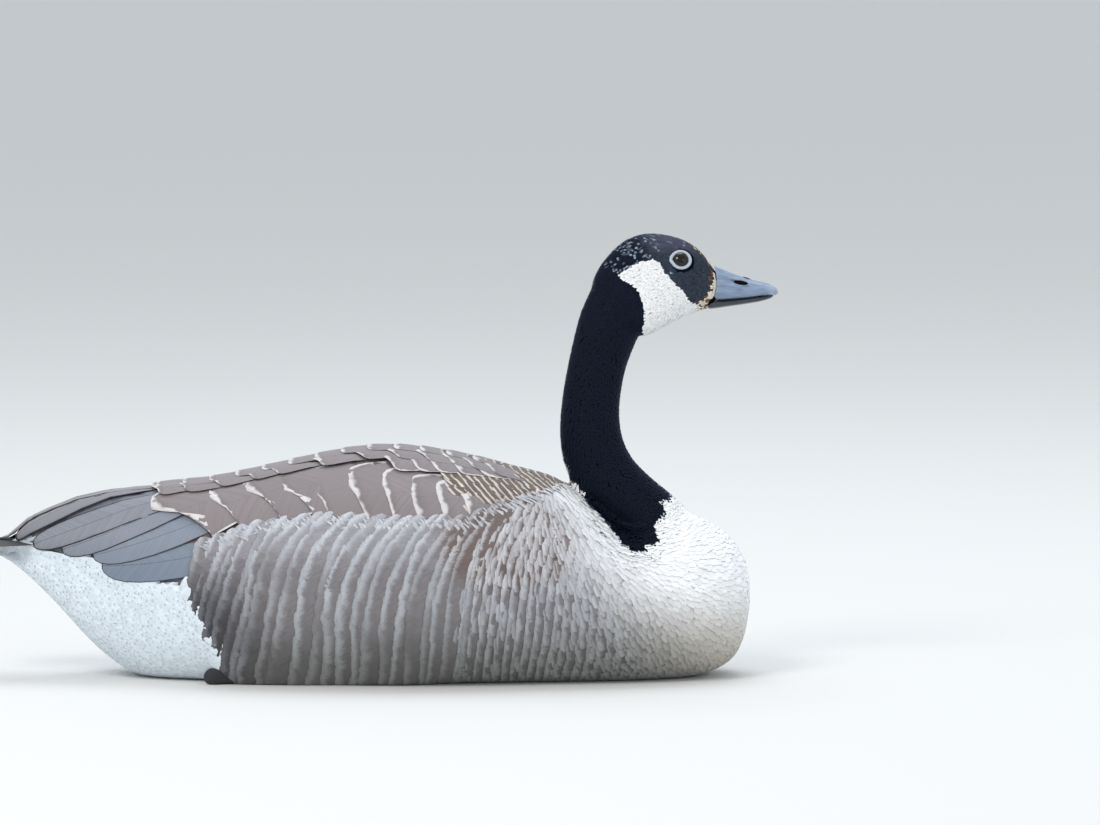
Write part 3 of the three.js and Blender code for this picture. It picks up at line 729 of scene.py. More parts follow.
# Velvet takes the light evenly, with a faint blue gloss where it is black.
velvet = plumage("short velvety head feathers", roughness=0.7, shine=0.1, sheen=0.12, barbs=0.5, soft=0.75,
                 gloss="#8fa6c8")


def on_head(t, a, place):
    x, z = seen(place)
    lids = ((x - EYE[0]) / EYE_BARE[0]) ** 2 + ((z - EYE[1]) / EYE_BARE[1]) ** 2 < 1
    feathered = x < read_off(BILL_EDGE, z) - 1
    return (t >= HEAD_FROM) & feathered & ~(lids & (np.abs(place[..., 1]) > 8 * MM))


def head_colours(t, a, seed):
    """The head's markings with the flecks, the stain over the bill and the pale patch at its root, with
    painted sheen that greys the crown's top and a painted highlight along the forehead.
    """
    rng = np.random.default_rng(seed)
    place = on_form(t, a)[0]
    tint = marking(t, place)[0]
    x, z = seen(place)
    dark = tint[:, 0] < BLACK_BELOW
    # The black turns slate towards the bill, and grey on the crown's top as painted sheen.
    face = smooth(x + 0.3 * (z - 300), 204, 226)[:, None]
    black = HEAD_BLACK * (1 - face) + mixed(FACE_SLATE, CROWN_SHEEN_GREY, smooth(z, 316, 331)) * face
    tint[dark] = (black * (0.8 + 0.4 * rng.random(len(t)))[:, None])[dark]
    centre_at, half_size, share = SPECKLED
    near = ((x - centre_at[0]) / half_size[0]) ** 2 + ((z - centre_at[1]) / half_size[1]) ** 2
    patchy = smooth(waves(place, 3 * MM), -0.4, 0.5)
    often = share * np.clip(1.6 - near, 0, 1) * patchy + 0.16 * smooth(z, 320, 332) * patchy + 0.004
    flecked = dark & (rng.random(len(t)) < often)
    tint[flecked] = FLECK * (0.2 + 0.8 * rng.random(flecked.sum()))[:, None]
    to_bill = read_off(BILL_EDGE, z) - x
    reach = read_off(BARE_REACH, z) + 0.8 * np.sin(1.3 * z)
    root = (to_bill < reach) & (z > BARE_LOW) & (z < BARE_HIGH)
    root |= (to_bill < 9) & (z > 276.5) & (z <= BARE_LOW) & (rng.random(len(t)) < 0.6)
    tint[root] = BARE_PATCH
    stain = (to_bill < 8) & (z > 276) & (z < 305) & ~root | (to_bill < 3.5) & (z >= 305)
    stain |= (np.abs(place[:, 1]) < 6 * MM) & (x > 240) & (z > 306)
    stain &= rng.random(len(t)) < 0.5
    tint[stain & dark] = STAIN * (0.4 + rng.random((stain & dark).sum()))[:, None]
    # Painted highlight: pale sunlit tips along the ridge of the forehead.
    rim = (np.abs(place[:, 1]) < 5 * MM) & (x > 243) & (z > 304) & (rng.random(len(t)) < 0.4)
    tint[rim] = SUNLIT
    return tint, tint


t, a = scatter(on_head, HEAD_SPACING, 1)
coat_of("head_feathers", t, a, 0, HEAD_LENGTH, HEAD_WIDTH, TINY, velvet, 2,
        lift=0.05 * MM, thick=0.08 * MM, fringe=0.4 * MM, stray=6, dive=2.0, colours=head_colours(t, a, 9))

# The neck's feathers are longer, and lie down the neck like black velvet with a faint blue gloss.
# They end in a ragged edge on the white of the breast.
NECK_LENGTH, NECK_WIDTH, NECK_SPACING = 8.5 * MM, 3.0 * MM, 1.75 * MM
black_velvet = plumage("glossy black neck feathers", roughness=0.65, shine=0.1, sheen=0.17, barbs=0.6,
                       soft=0.85, gloss="#6f97d8")


def is_black(t, place):
    return marking(t, place)[0][..., 0] < BLACK_BELOW


def on_neck(t, a, place):
    return (t < HEAD_FROM) & (t > NECK_FROM) & is_black(t, place)


t, a = scatter(on_neck, NECK_SPACING, 3)
coat_of("neck_feathers", t, a, 0, NECK_LENGTH, NECK_WIDTH, TINY, black_velvet, 4,
        lift=0.05 * MM, thick=0.1 * MM, fringe=0.6 * MM, stray=5, dive=2.2, loose=0.02)

# The flanks' feathers are long and soft, and curl up over the folded wing. They lie in rows, and the pale
# edges of a row join into one bar. Each row runs square to the lie of its feathers, from the wing to the
# belly.
CONTOUR = [(0, 0.4), (0.4, 0.85), (0.7, 1), (0.88, 0.96), (0.96, 0.8), (1, 0.5)]
SOFT_TIP = [(0, 0.45), (0.5, 0.95), (0.82, 1), (0.94, 0.82), (1, 0.45)]
WISP = [(0, 0.5), (0.5, 1), (0.75, 0.85), (0.92, 0.45), (1, 0.1)]
# By x: how far the feathers turn down at the wing's edge in degrees, the gaps of their rows there, and the
# feathers' width, in mm.
FLANK_TURN = [(-141, -8), (-118, -22), (-85, -42), (-40, -50), (20, -48), (70, -38), (110, -20), (135, -4),
              (150, 0)]
FLANK_SPACING = [(-135, 9), (-100, 11.5), (-20, 11.5), (60, 9.5), (110, 8.5), (150, 6)]
FLANK_WIDTH = [(-120, 15), (-60, 20), (60, 17), (110, 13)]
ROW_STEP, ROW_STEPS = 4 * MM, 52        # from one feather of a row to the next, and places along a row
CURL = 42                               # mm below the wing over which the feathers' upward turn fades
NECK_TURN, NECK_NEAR = 38, 16           # the downward turn at the neck's edge, fading over these mm
BELLY_AT = 150                          # the angle where the side ends and the belly starts
UNDERSIDE = -2 * MM                     # the form is under the floor below this, and bare
# Downy vanes with no gloss, whose frayed pale edges run together into bars.
barred_vane = plumage("soft barred flank feathers", roughness=0.8, shine=0.12, sheen=0.3, barbs=2.1,
                      soft=0.94, blur=0.7, dark_band=0.06, fray=1.9, wander=0.18)


def found(spots):
    """Stations and angles on the right side of places in the side view."""
    side = (turned > 0) & (turned < BELLY_AT)
    x, z = seen(form)
    t, a = np.zeros(len(spots)), np.zeros(len(spots))
    for i, (to_x, to_z) in enumerate(spots):
        miss = np.where(side, (x - to_x) ** 2 + (z - to_z) ** 2, np.inf)
        t[i], a[i] = np.divmod(miss.argmin(), ROUND)
    a *= DEGREES
    goal = np.array(spots, float)
    for _ in range(3):
        here = np.stack(seen(on_form(t, a)[0]), -1)
        by_t = (np.stack(seen(on_form(t + 0.5, a)[0]), -1) - here) / 0.5
        by_a = np.stack(seen(on_form(t, a + 1)[0]), -1) - here
        for i, miss in enumerate(goal - here):
            step = np.linalg.lstsq(np.stack([by_t[i], by_a[i]], -1), miss, rcond=0.05)[0]
            t[i], a[i] = (t[i], a[i]) + np.clip(step, -3, 3)
    return t, a


def along_line(outline, gap_at):
    """Points along a line in the side view, with gaps that vary with x."""
    outline = np.array(outline, float)
    run = np.concatenate([[0], np.cumsum(np.hypot(*np.diff(outline, axis=0).T))])
    made, at = [], 0.0
    while at < run[-1]:
        made.append((np.interp(at, run, outline[:, 0]), np.interp(at, run, outline[:, 1])))
        at += read_off(gap_at, made[-1][0])
    return made


def rows_from(t, a, turn_at, spacing, count):
    """Places in rows that run down the side from where they start, square to the lie of the feathers."""
    side = np.where(signed(a) >= 0, 1.0, -1.0)
    kept_t, kept_a = [], []
    substeps = 4
    stagger = np.arange(len(t)) % 2 * 0.5
    for k in range(count * substeps):
        if k % substeps == 0:
            kept_t.append(t)
            kept_a.append(a)
        place, _, back, down, along, around = frame_at(t, a, side)
        way = np.radians(turn_at(place))[:, None]
        reach = spacing / substeps * (stagger if k < substeps else 1.0)
        move = (-np.sin(way) * back + np.cos(way) * down) * (np.ones(len(t)) * reach)[:, None]
        dt, da = steps_for(move, along, around)
        t, a = t + dt, a + da
    return np.concatenate(kept_t), np.concatenate(kept_a)


def off_line(x, z, outline):
    """The distance of each place in the side view from a line."""
    nearest = np.full(np.shape(x), np.inf)
    for (ax, az), (bx, bz) in zip(outline, outline[1:]):
        run, rise = bx - ax, bz - az
        share = np.clip(((x - ax) * run + (z - az) * rise) / (run**2 + rise**2), 0, 1)
        nearest = np.minimum(nearest, np.hypot(x - ax - share * run, z - az - share * rise))
    return nearest


def below_wing(place):
    """How far below the wing's edge a place lies, in mm."""
    x, z = seen(place)
    return np.maximum(read_off(FLANK_TOP, x) - z, 0)


def side_turn(place):
    """How far the side's feathers turn down: up over the folded wing, and down along the neck's edge."""
    x, z = seen(place)
    by_neck = NECK_TURN * np.exp(-off_line(x, z, NECK_EDGE) / NECK_NEAR) * smooth(-x, -216, -196)
    return read_off(FLANK_TURN, x) * np.exp(-below_wing(place) / CURL) + by_neck


seeds_t, seeds_a = found(along_line(FLANK_TOP[:7], FLANK_SPACING))
rows_t, rows_a = rows_from(seeds_t, seeds_a, side_turn, ROW_STEP, ROW_STEPS)
row = np.tile(np.arange(len(seeds_t)), ROW_STEPS)
last_t, last_a = rows_t[row == row.max()], rows_a[row == row.max()]
for name, side, seed in (("flank_feathers_right", 1, 15), ("flank_feathers_left", -1, 16)):
    rng = np.random.default_rng(seed)
    place = on_form(rows_t, side * rows_a)[0]
    apart = MM * np.stack([0 * row, 57 * row, 31 * row], -1)      # so that each row waves on its own
    strands = place + apart
    t = rows_t + 0.9 * waves(strands, 38 * MM) + 0.1 * rng.normal(0, 1, len(row))
    a = side * rows_a
    place = on_form(t, a)[0]
    x, z = seen(place)
    kept = (x > read_off(FLANK_REAR, z) - 3) & (rows_a < BELLY_AT) & (place[:, 2] > UNDERSIDE)
    t, a, place, x, strands = t[kept], a[kept], place[kept], x[kept], strands[kept]
    faint = rng.random(row.max() + 1)[row[kept]]
    spacing = read_off(FLANK_SPACING, x) * MM
    wide = read_off(FLANK_WIDTH, x) * MM
    lift = (0.05 + 1.1 * np.exp(-below_wing(place) / 8)) * MM
    tint, edge = marking(t, place, False)
    edge = mixed(edge, tint, np.minimum(0.4 * faint + 0.6 * smooth(waves(strands, 24 * MM), -0.2, 0.9), 1))
    fringe = spacing * (0.4 - 0.06 * smooth(x, 40, 100) + 0.16 * waves(strands[:, ::-1], 26 * MM))
    coat_of(name, t, a, side_turn(place), 16 * MM + 2 * spacing, wide, SOFT_TIP, barred_vane, seed + 20,
            lift=lift, lanes=9, thick=0.08 * MM, fringe=fringe, colours=(tint, edge),
            shade=0.03, camber=0.015, roll=0.01, sides=0, stray=1.5, uneven=0.1, vary=0.05, dive=4.0,
            loose=0.004, ragged=1.1 * MM)
    along_top = found(along_line(FLANK_TOP[1:8], [(-141, 1.3), (138, 1.3)]))
    t = along_top[0] + 0.8 * rng.normal(0, 1, len(along_top[0]))
    a = side * (along_top[1] + rng.uniform(-1.0, 3.5, len(t)))
    place = on_form(t, a)[0]
    tint = marking(t, place, False)[1]
    coat_of(name.replace("feathers", "wisps"), t, a, side_turn(place), 22 * MM, 2.8 * MM, WISP,
            barred_vane, seed + 30, lift=1.5 * MM, thick=0.08 * MM,
            colours=(0.85 * tint, 0.85 * tint), shade=0.12, stray=6, vary=0.3, dive=3.0, loose=0.02)

# The mantle's feathers are small and close between the wings. Their pale edges join into bars that run
# forward as they go down. They are laid in rows from the ridge of the back, as the flank's are from the
# wing.
MANTLE_TURN = 34                            # how far the feathers turn down, away from the ridge
MANTLE_FROM = 62                            # x where they start behind, at the height of the shoulder
MANTLE_ROWS = np.arange(20, 168, 6.5)       # x on the ridge where the rows start
WING_ROUND = 120                            # the angle down to which mantle and wings reach
# Firmer vanes with a slight shine, and a crisp pale edge outside a dark band.
edged_vane = plumage("pale edged back feathers", roughness=0.7, shine=0.2, sheen=0.2, barbs=0.9, soft=0.5,
                     blur=0.5, dark_band=0.3, shaft=0.08, fray=0.6, wander=0.35)


def mantle_turn(place):
    return MANTLE_TURN * smooth(np.abs(place[..., 1]), 0.0, 25 * MM)


ridge_t = np.interp(MANTLE_ROWS, line[:MANTLE_UNTIL, 2] / MM, np.arange(MANTLE_UNTIL))
for name, side, seed in (("mantle_feathers_right", 1, 7), ("mantle_feathers_left", -1, 8)):
    rng = np.random.default_rng(seed)
    t, a = rows_from(ridge_t, side * np.full(len(ridge_t), 2.0), mantle_turn, 6 * MM, 22)
    t = t + rng.normal(0, 0.15, len(t))
    place = on_form(t, a)[0]
    x, z = seen(place)
    over = z > read_off(FLANK_TOP, x) - 1
    kept = over & ~(is_black(t, place) & (t > NECK_FROM)) & (np.abs(signed(a)) < WING_ROUND)
    kept &= (x > MANTLE_FROM - 0.35 * (z - 130)) & (x < MANTLE_FRONT + 4)
    t, a, place = t[kept], a[kept], place[kept]
    coat_of(name, t, a, mantle_turn(place), 24 * MM, 13 * MM, CONTOUR, edged_vane, seed + 10,
            lift=0.1 * MM, thick=0.15 * MM, fringe=1.7 * MM, shade=0.1, sides=0, stray=3)

# The breast, the belly and the vent are soft, with loose feathers that show no edges.
# The white of the breast turns to cream below, and the vent's long down stands out under the tail.
# Down scatters the light, so single feathers hardly show and the whole reads as one soft form.
down_vane = plumage("soft white breast feathers", roughness=0.85, shine=0.08, sheen=0.25, barbs=1.0,
                    soft=0.88, blur=0.7, dark_band=0.05, fray=0.9, wander=0.3)
loose_down = plumage("loose white down of the vent", roughness=0.9, shine=0.05, sheen=0.25, barbs=1.0,
                     soft=0.95, blur=0.6, dark_band=0.03, fray=0.9)


def on_breast(t, a, place):
    x, z = seen(place)
    ahead = t > np.interp(np.abs(signed(a)), last_a, last_t) - 1
    mantle = (z > read_off(FLANK_TOP, x) + 2) & (x < MANTLE_FRONT + 2)
    return ~is_black(t, place) & ahead & ~mantle & (t < BREAST_UNTIL) & (place[..., 2] > UNDERSIDE)


def beside_neck(t, a, place):
    near = off_line(*seen(place), NECK_EDGE) < 13
    return on_breast(t, a, place) & near & (place[..., 0] > MANTLE_FRONT * MM)


def on_belly(t, a, place):
    x, z = seen(place)
    behind = x < read_off(FLANK_REAR, z) - 4
    ahead = t > np.interp(np.abs(signed(a)), last_a, last_t)
    return ~ahead & (np.abs(signed(a)) > BELLY_AT - 4) & ~behind & (place[..., 2] > UNDERSIDE)


def on_vent(t, a, place):
    x, z = seen(place)
    return (x < read_off(FLANK_REAR, z)) & (z < read_off(WING_UNDER, x) + 2) & (t > 6)


STROKES = 7.0        # mm from one faint row of the breast's side to the next
t, a = scatter(on_breast, 3.5 * MM, 21)
rng = np.random.default_rng(20)
place = on_form(t, a)[0]
x, z = seen(place)
to_next = 2 * (seen(on_form(t + 0.5, a)[0])[0] - x)
last_x, last_z = seen(on_form(last_t, last_a)[0])
order = np.argsort(last_z)
rows_off = (x - np.interp(z, last_z[order], last_x[order])) / STROKES + 0.4 * waves(place, 28 * MM)
pulled = (rng.random(len(t)) < 0.8) * smooth(-x, -200, -160) * (to_next > 1)
t = t + 0.9 * pulled * (np.round(rows_off) - rows_off) * STROKES / np.maximum(to_next, 1)
for name, part in (("breast_feathers_right", signed(a) >= 0), ("breast_feathers_left", signed(a) < 0)):
    place = on_form(t[part], a[part])[0]
    x = seen(place)[0]
    small = 0.65 + 0.35 * smooth(off_line(*seen(place), NECK_EDGE), 2, 20)
    wide = small * np.interp(x, [120, 190], [14, 8]) * MM
    coat_of(name, t[part], a[part], side_turn(place), small * 17 * MM, wide, SOFT_TIP, down_vane, 22,
            lift=0.05 * MM, lanes=5, thick=0.08 * MM, fringe=3.2 * MM, stray=3, sides=0,
            camber=0.02, roll=0.01, uneven=0.4, dive=4.0, wings=False, loose=0.008, ragged=1.1 * MM)

t, a = scatter(beside_neck, 1.9 * MM, 27)
coat_of("neck_edge_feathers", t, a, side_turn(on_form(t, a)[0]), 9 * MM, 3.4 * MM, TINY, down_vane, 28,
        lift=0.1 * MM, thick=0.08 * MM, fringe=1 * MM, stray=7, sides=0, dive=2.5,
        wings=False)
t, a = scatter(on_belly, 8 * MM, 23)
coat_of("belly_feathers", t, a, 0, 30 * MM, 16 * MM, CONTOUR, down_vane, 24, stray=7,
        sides=0)
t, a = scatter(on_vent, 3.1 * MM, 25)
coat_of("vent_feathers", t, a, 0, 30 * MM, 8.5 * MM, WISP, loose_down, 26,
        lift=0.1 * MM, stray=6, thick=0.05 * MM, fringe=1.6 * MM, sides=0, vary=0.2, loose=0.008, dive=6.0,
        camber=0.02, roll=0.01)

# The folded wings. Small feathers close the surface, and over them the scapulars and coverts are broad
# brown vanes with whitish edges, in rows that overlap from the neck to the rear and from the ridge to the
# flank.
BROAD = [(0, 0.4), (0.25, 0.8), (0.5, 0.97), (0.7, 1), (0.82, 0.99), (0.9, 0.94), (0.955, 0.82),
         (0.985, 0.62), (1, 0.36)]
# x and z of each feather's tip in the side view, its turn down in degrees, and length, width and slant.
SCAPULARS = [
    (71, 133, 14, 46, 38, 0), (51.5, 134, 13, 56, 46, 0), (31.5, 136, 12, 62, 54, 0),
    (11, 138, 12, 64, 62, 2), (-14, 138, 12, 66, 70, 5), (-43, 137, 13, 72, 74, 7),
    (-74, 136, 15, 76, 76, 28), (-94, 134, 15, 80, 76, 20), (-120, 128, 16, 84, 70, 15),
    (-164, 118, 20, 94, 64, 34),
]
UPPER_SCAPULARS = [
    (80, 159, 18, 46, 32, 0), (62, 162, 15, 50, 35, 0), (43, 164, 13, 54, 36, 2), (27, 165, 12, 58, 36, 4),
    (9, 165, 12, 60, 37, 5),
]
# The rows along the back's ridge and middle start with x and the angle round the form.
RIDGE = [(x, 14, 8, 60, 38, 5) for x in (84, 68, 53, 34, 11, -14, -45, -79, -97, -123, -148, -168)]
MIDDLE = [(76 - 20 * i, 4, 2, 44 + 2 * i, 28 + 0.8 * i, 0) for i in range(13)]
WING_TIERS = [  # name, feathers, lift in mm, whether on the back, narrowing of the edge at the sides
    ("lower_scapulars", SCAPULARS, 0.3, False, 1.6),
    ("upper_scapulars", UPPER_SCAPULARS, 0.5, False, 3.5),
    ("ridge_feathers", RIDGE, 0.6, True, 0),
    ("middle_feathers", MIDDLE, 0.5, True, 0),
]
EDGE_WIDTH = [(-160, 1.3), (0, 1.9), (70, 2.2)]     # x, then the width of the whitish edge, in mm
EDGE_SHOWN = 1.6     # times wider, as frayed edges lose width
LEFT_OVER = 0.5      # mm by which the left wing's feathers lie over the right wing's along the back
SCAPULAR_BROWN, SCAPULAR_EDGE = linear("#867d7e"), linear("#d9d4d3")
UNDER_BROWN, UNDER_GREY = linear("#6b6262"), linear("#777a84")
# Firm smooth vanes that catch a little light along their shafts.
wing_vane = plumage("pale edged wing coverts", roughness=0.62, shine=0.25, sheen=0.2, barbs=1.0, soft=0.3,
                    blur=0.55, dark_band=0.15, shaft=0.08, fray=0.7, wander=0.8)


def on_wing(t, a, place):
    x, z = seen(place)
    lowest = np.where(x > -138, read_off(FLANK_TOP, x) - 3, read_off(WING_UNDER, x) + 2)
    return (z > lowest) & (t < WING_UNTIL) & (x > -275) & (np.abs(signed(a)) < WING_ROUND)


t, a = scatter(on_wing, 7 * MM, 31)
under = mixed(UNDER_BROWN, UNDER_GREY, smooth(-on_form(t, a)[0][:, 0], 140 * MM, 165 * MM))
coat_of("wing_under_feathers", t, a, 4, 28 * MM, 15 * MM, CONTOUR, wing_vane, 32,
        lift=-3.5 * MM, colours=(under, under))
for side, word in ((1, "right"), (-1, "left")):
    for tier, (part, feathers, lift, on_back, sides) in enumerate(WING_TIERS):
        x, z, turn, length, width, slant = (np.array(column, float) for column in zip(*feathers))
        if on_back:
            t, a = np.interp(x, line[:WING_UNTIL, 0] / MM, np.arange(WING_UNTIL)), z
            lift += LEFT_OVER * (side < 0)
        else:
            t, a = found(list(zip(x, z)))
        colours = (np.tile(SCAPULAR_BROWN, (len(t), 1)), np.tile(SCAPULAR_EDGE, (len(t), 1)))
        fringe = read_off(EDGE_WIDTH, x) * EDGE_SHOWN * MM
        coat_of(f"{part}_{word}", t, side * a, turn, length * MM, width * MM, BROAD, wing_vane,
                40 + 2 * tier + side, lift=lift * MM, lanes=9, thick=0.25 * MM,
                fringe=fringe, sink=1 * MM, vary=0.03, stray=1.2, patch=0.02, colours=colours, camber=0.02,
                roll=0.035, shade=0.05, dive=4.0, loose=0.0, sides=sides, ragged=0.8 * MM,
                slant=slant * MM)

# The flight feathers lie folded along the rump as long grey blades, each with a dark edge, and end over
# the tail. The dark edge is partly the blade's own dark web and partly painted shadow where one blade lies
# over the next. Each blade is one broad vane from the place of its root under the coverts to its own tip.
BLADE = [(0, 0.5), (0.12, 0.85), (0.28, 1), (0.45, 1), (0.6, 0.97), (0.73, 0.92), (0.83, 0.84), (0.9, 0.72),
         (0.95, 0.56), (0.985, 0.34), (1, 0.14)]
FLIGHT = [  # x and z of the tip and of the root in the side view, lift, width and dark edge with painted shadow, in mm, lowest first
    (-203, 84, -100, 84, 0.3, 29, 0.7), (-210, 92, -104, 112, 0.4, 27, 0.8),
    (-234, 96, -118, 132, 0.5, 26, 1.1), (-256, 100, -124, 140, 0.6, 25, 1.3),
    (-270, 105, -130, 147, 0.7, 25, 1.8), (-279, 107, -136, 152, 0.6, 23, 2.2),
    (-285, 107, -142, 156, 1.6, 24, 1.6),
]
# The blades' near-black edge is partly their dark web and partly painted shadow where one blade lies over
# the next.
FLIGHT_GREY, TOP_BLADES, FLIGHT_EDGE_AND_SHADOW = linear("#7c8796"), linear("#8b8587"), linear("#1c1817")
# The smoothest vanes of all, with a satin shine and a dark shaft.
blade_vane = plumage("smooth grey flight feathers", roughness=0.5, shine=0.35, sheen=0.15, barbs=1.4,
                     soft=0.2, dark_band=0.1, shaft=0.3, fray=0.15)
tip_x, tip_z, root_x, root_z, lift, width, dark_edge_and_shadow = (np.array(column, float) for column in zip(*FLIGHT))
tip_t, tip_a = found(list(zip(tip_x, tip_z)))
root_t, root_a = found(list(zip(root_x, root_z)))
count = len(FLIGHT)
place, up, back, down = frame_at(tip_t, tip_a, np.ones(count))[:4]
chord = place - on_form(root_t, root_a)[0]
turn = np.degrees(np.arctan2((chord * down).sum(1), (chord * back).sum(1)))
length = np.linalg.norm(chord, axis=1)
greys = mixed(FLIGHT_GREY, TOP_BLADES, np.linspace(0, 1, count))
tilt = np.where(np.arange(count) < count - 1, 0.07, 0)      # the topmost lie flat over the back
for side, word in ((1, "right"), (-1, "left")):
    coat_of(f"flight_feathers_{word}", tip_t, side * tip_a, turn, length, width * MM, BLADE, blade_vane,
            60 + side, lift=(lift + LEFT_OVER * (side < 0)) * MM, lanes=7,
            thick=0.5 * MM, fringe=dark_edge_and_shadow * MM, sink=0.5 * MM, vary=0.02, stray=0.6, patch=0.03,
            colours=(greys, np.tile(FLIGHT_EDGE_AND_SHADOW, (count, 1))), roll=tilt, shade=0.05, dive=5.0, loose=0.0,
            uneven=0.0)

# The tail's eighteen feathers are black and lie side by side over the white undertail, the middle ones on
# top. They stand out past the form, so each is laid straight from its root to its tip, like the blades of
# a fan.
TAIL_COUNT, TAIL_ROOT_X, TAIL_TIP_X = 18, -228 * MM, -307 * MM
TAIL_SPREAD, TAIL_WIDTH, TAIL_TOP = 33 * MM, 15 * MM, 103.5 * MM
TAIL_ROUNDED, TAIL_DROP = 10 * MM, 2 * MM       # how much shorter and lower the outermost feather ends
TAIL_CAMBER = 0.08                              # a feather's bend down at its sides, as a share of half
TAIL_BLACK = linear("#171412")
# Stiff smooth vanes with a satin shine.
tail_vane = plumage("black tail feathers", roughness=0.5, shine=0.35, sheen=0.1, barbs=1.4, soft=0.1,
                    shaft=0.2, fray=0.1)
rng = np.random.default_rng(70)
place_across = np.linspace(-1, 1, TAIL_COUNT)
outer = np.abs(place_across)
shares, parts = (np.array(column) for column in zip(*BLADE))
tip = np.stack([TAIL_TIP_X + TAIL_ROUNDED * outer**2, place_across * TAIL_SPREAD,
                TAIL_TOP - TAIL_DROP * outer**1.5], -1)
root = np.stack([np.full(TAIL_COUNT, TAIL_ROOT_X), 0.45 * place_across * TAIL_SPREAD,
                 TAIL_TOP + 1 * MM - 1 * MM * outer**2], -1)
middle = root[:, None] + (tip - root)[:, None] * shares[None, :, None]
lie = unit(tip - root)
across = unit(np.cross(np.array([0, 0, 1.0]), lie))
up = np.cross(lie, across)
lanes = np.linspace(-1, 1, 5)
half = TAIL_WIDTH / 2 * parts
tops = (middle[:, :, None] + across[:, None, None] * (half[:, None] * lanes)[None, :, :, None]
        - up[:, None, None] * (TAIL_CAMBER * half[:, None] * lanes**2)[None, :, :, None])
ups = np.broadcast_to(up[:, None, None], tops.shape).copy()
one = np.ones(TAIL_COUNT)
black = np.tile(TAIL_BLACK, (TAIL_COUNT, 1))
piece = vane_piece("tail_feathers", (tops, ups, 30 * one, 90 * place_across), BLADE,
                   np.linalg.norm(tip - root, axis=1), TAIL_WIDTH * one, black, black, 1 * MM * one,
                   rng.uniform(0, 1, TAIL_COUNT), 0.5 * MM, 0.03, tail_vane, 1.5)

# The bill is dark horn over bone, in an upper and a lower half, with a harder nail at the tip, a long
# nostril and fine ridges along the edges. Both halves are the solids, remeshed finer and smoothed.
# The upper half's pale blue grey is dark horn with painted gloss from the sky; the lower half's near black
# is the horn's own.
HORN_AND_PAINTED_GLOSS, HORN_LOW, NAIL_TIP = linear("#7a8aa2"), linear("#2b3038"), linear("#919fb3")
NAIL_AT = (0.298, 0.303)            # x over which the horn pales into the nail, in metres
MOUTH_SLOPE = -0.085                # takes off the rise of the mouth's line towards the tip
MOUTH_AT = (0.2647, 0.2636)         # z without that rise, where the dark lower half starts, in metres
SLIT_AT, SLIT_TURN = (0.279, 0, 0.2998), -0.33      # painted shade in the hollow round the nostril
SLIT_HALF = (120.0, 0.0, 560.0)     # one over its half length and half height, in metres
SHADOW_PLUG_AT = (0.280, 0, 0.2996)      # a dark plug inside the open nostril, as painted shadow
SHADOW_PLUG_HALF = (0.009, 0.0022, 0.0042)      # its half sizes
COMB_AT = (0.2925, 0.2895)          # z over which the ridges along the edge come in, in metres
COMB_SCALE = 260.0                  # makes ridges 1.2 mm apart
STREAKS = (40.0, 260.0, 260.0)      # wear in streaks about 12 mm long and 2 mm high
# Horn has a dull shine under a thin waxy coat, and pale scratches along its length.
horn, tree = new_material("dark horn of the bill")
here = node(tree, "TexCoord").outputs["Object"]
spot = node(tree, "SeparateXYZ", {0: here})
x, z = spot.outputs["X"], spot.outputs["Z"]
at_nail = node(tree, "MapRange", {"Value": x, "From Min": NAIL_AT[0], "From Max": NAIL_AT[1]}).outputs[0]
above_mouth = node(tree, "Math", {0: x, 1: MOUTH_SLOPE, 2: z}, operation="MULTIPLY_ADD").outputs[0]
at_low = node(tree, "MapRange", {"Value": above_mouth, "From Min": MOUTH_AT[0], "From Max": MOUTH_AT[1]})
slit_way = node(tree, "VectorMath", {0: here, 1: SLIT_AT}, operation="SUBTRACT").outputs[0]
slit_turn = node(tree, "VectorRotate", {"Vector": slit_way, "Angle": SLIT_TURN},
                 rotation_type="Y_AXIS").outputs[0]
slit_size = node(tree, "VectorMath", {0: slit_turn, 1: SLIT_HALF}, operation="MULTIPLY").outputs[0]
slit_off = node(tree, "VectorMath", {0: slit_size}, operation="LENGTH").outputs["Value"]
painted_slit_shade = node(tree, "MapRange", {"Value": slit_off, "From Min": 1.05, "From Max": 0.5, "To Max": 0.85})
stretched = node(tree, "VectorMath", {0: here, 1: STREAKS}, operation="MULTIPLY").outputs[0]
streaks = node(tree, "TexNoise", {"Vector": stretched, "Scale": 2.0, "Detail": 5.0}).outputs["Fac"]
wear = node(tree, "MapRange", {"Value": streaks, "From Min": 0.35, "From Max": 0.7,
                               "To Min": 0.8, "To Max": 1.25})
# Painted gloss: the upper half is paler than its dark horn.
nailed = node(tree, "Mix", {0: at_nail, 6: (*HORN_AND_PAINTED_GLOSS, 1), 7: (*NAIL_TIP, 1)}, data_type="RGBA").outputs[2]
# Painted shade darkens the horn in the hollow round the nostril.
slit = node(tree, "Mix", {0: painted_slit_shade.outputs[0], 6: nailed, 7: (*HORN_LOW, 1)}, data_type="RGBA").outputs[2]
body = node(tree, "Mix", {0: at_low.outputs[0], 6: slit, 7: (*HORN_LOW, 1)}, data_type="RGBA").outputs[2]
colour = node(tree, "VectorMath", {0: body, "Scale": wear.outputs["Result"]}, operation="SCALE").outputs[0]
combs = node(tree, "TexWave", {"Vector": here, "Scale": COMB_SCALE, "Distortion": 0.4},
             bands_direction="X").outputs["Fac"]
low_edge = node(tree, "MapRange", {"Value": z, "From Min": COMB_AT[0], "From Max": COMB_AT[1]}).outputs[0]
comb_depth = node(tree, "Math", {0: combs, 1: low_edge}, operation="MULTIPLY").outputs[0]
relief = node(tree, "Math", {0: comb_depth, 1: 0.5, 2: streaks}, operation="MULTIPLY_ADD").outputs[0]
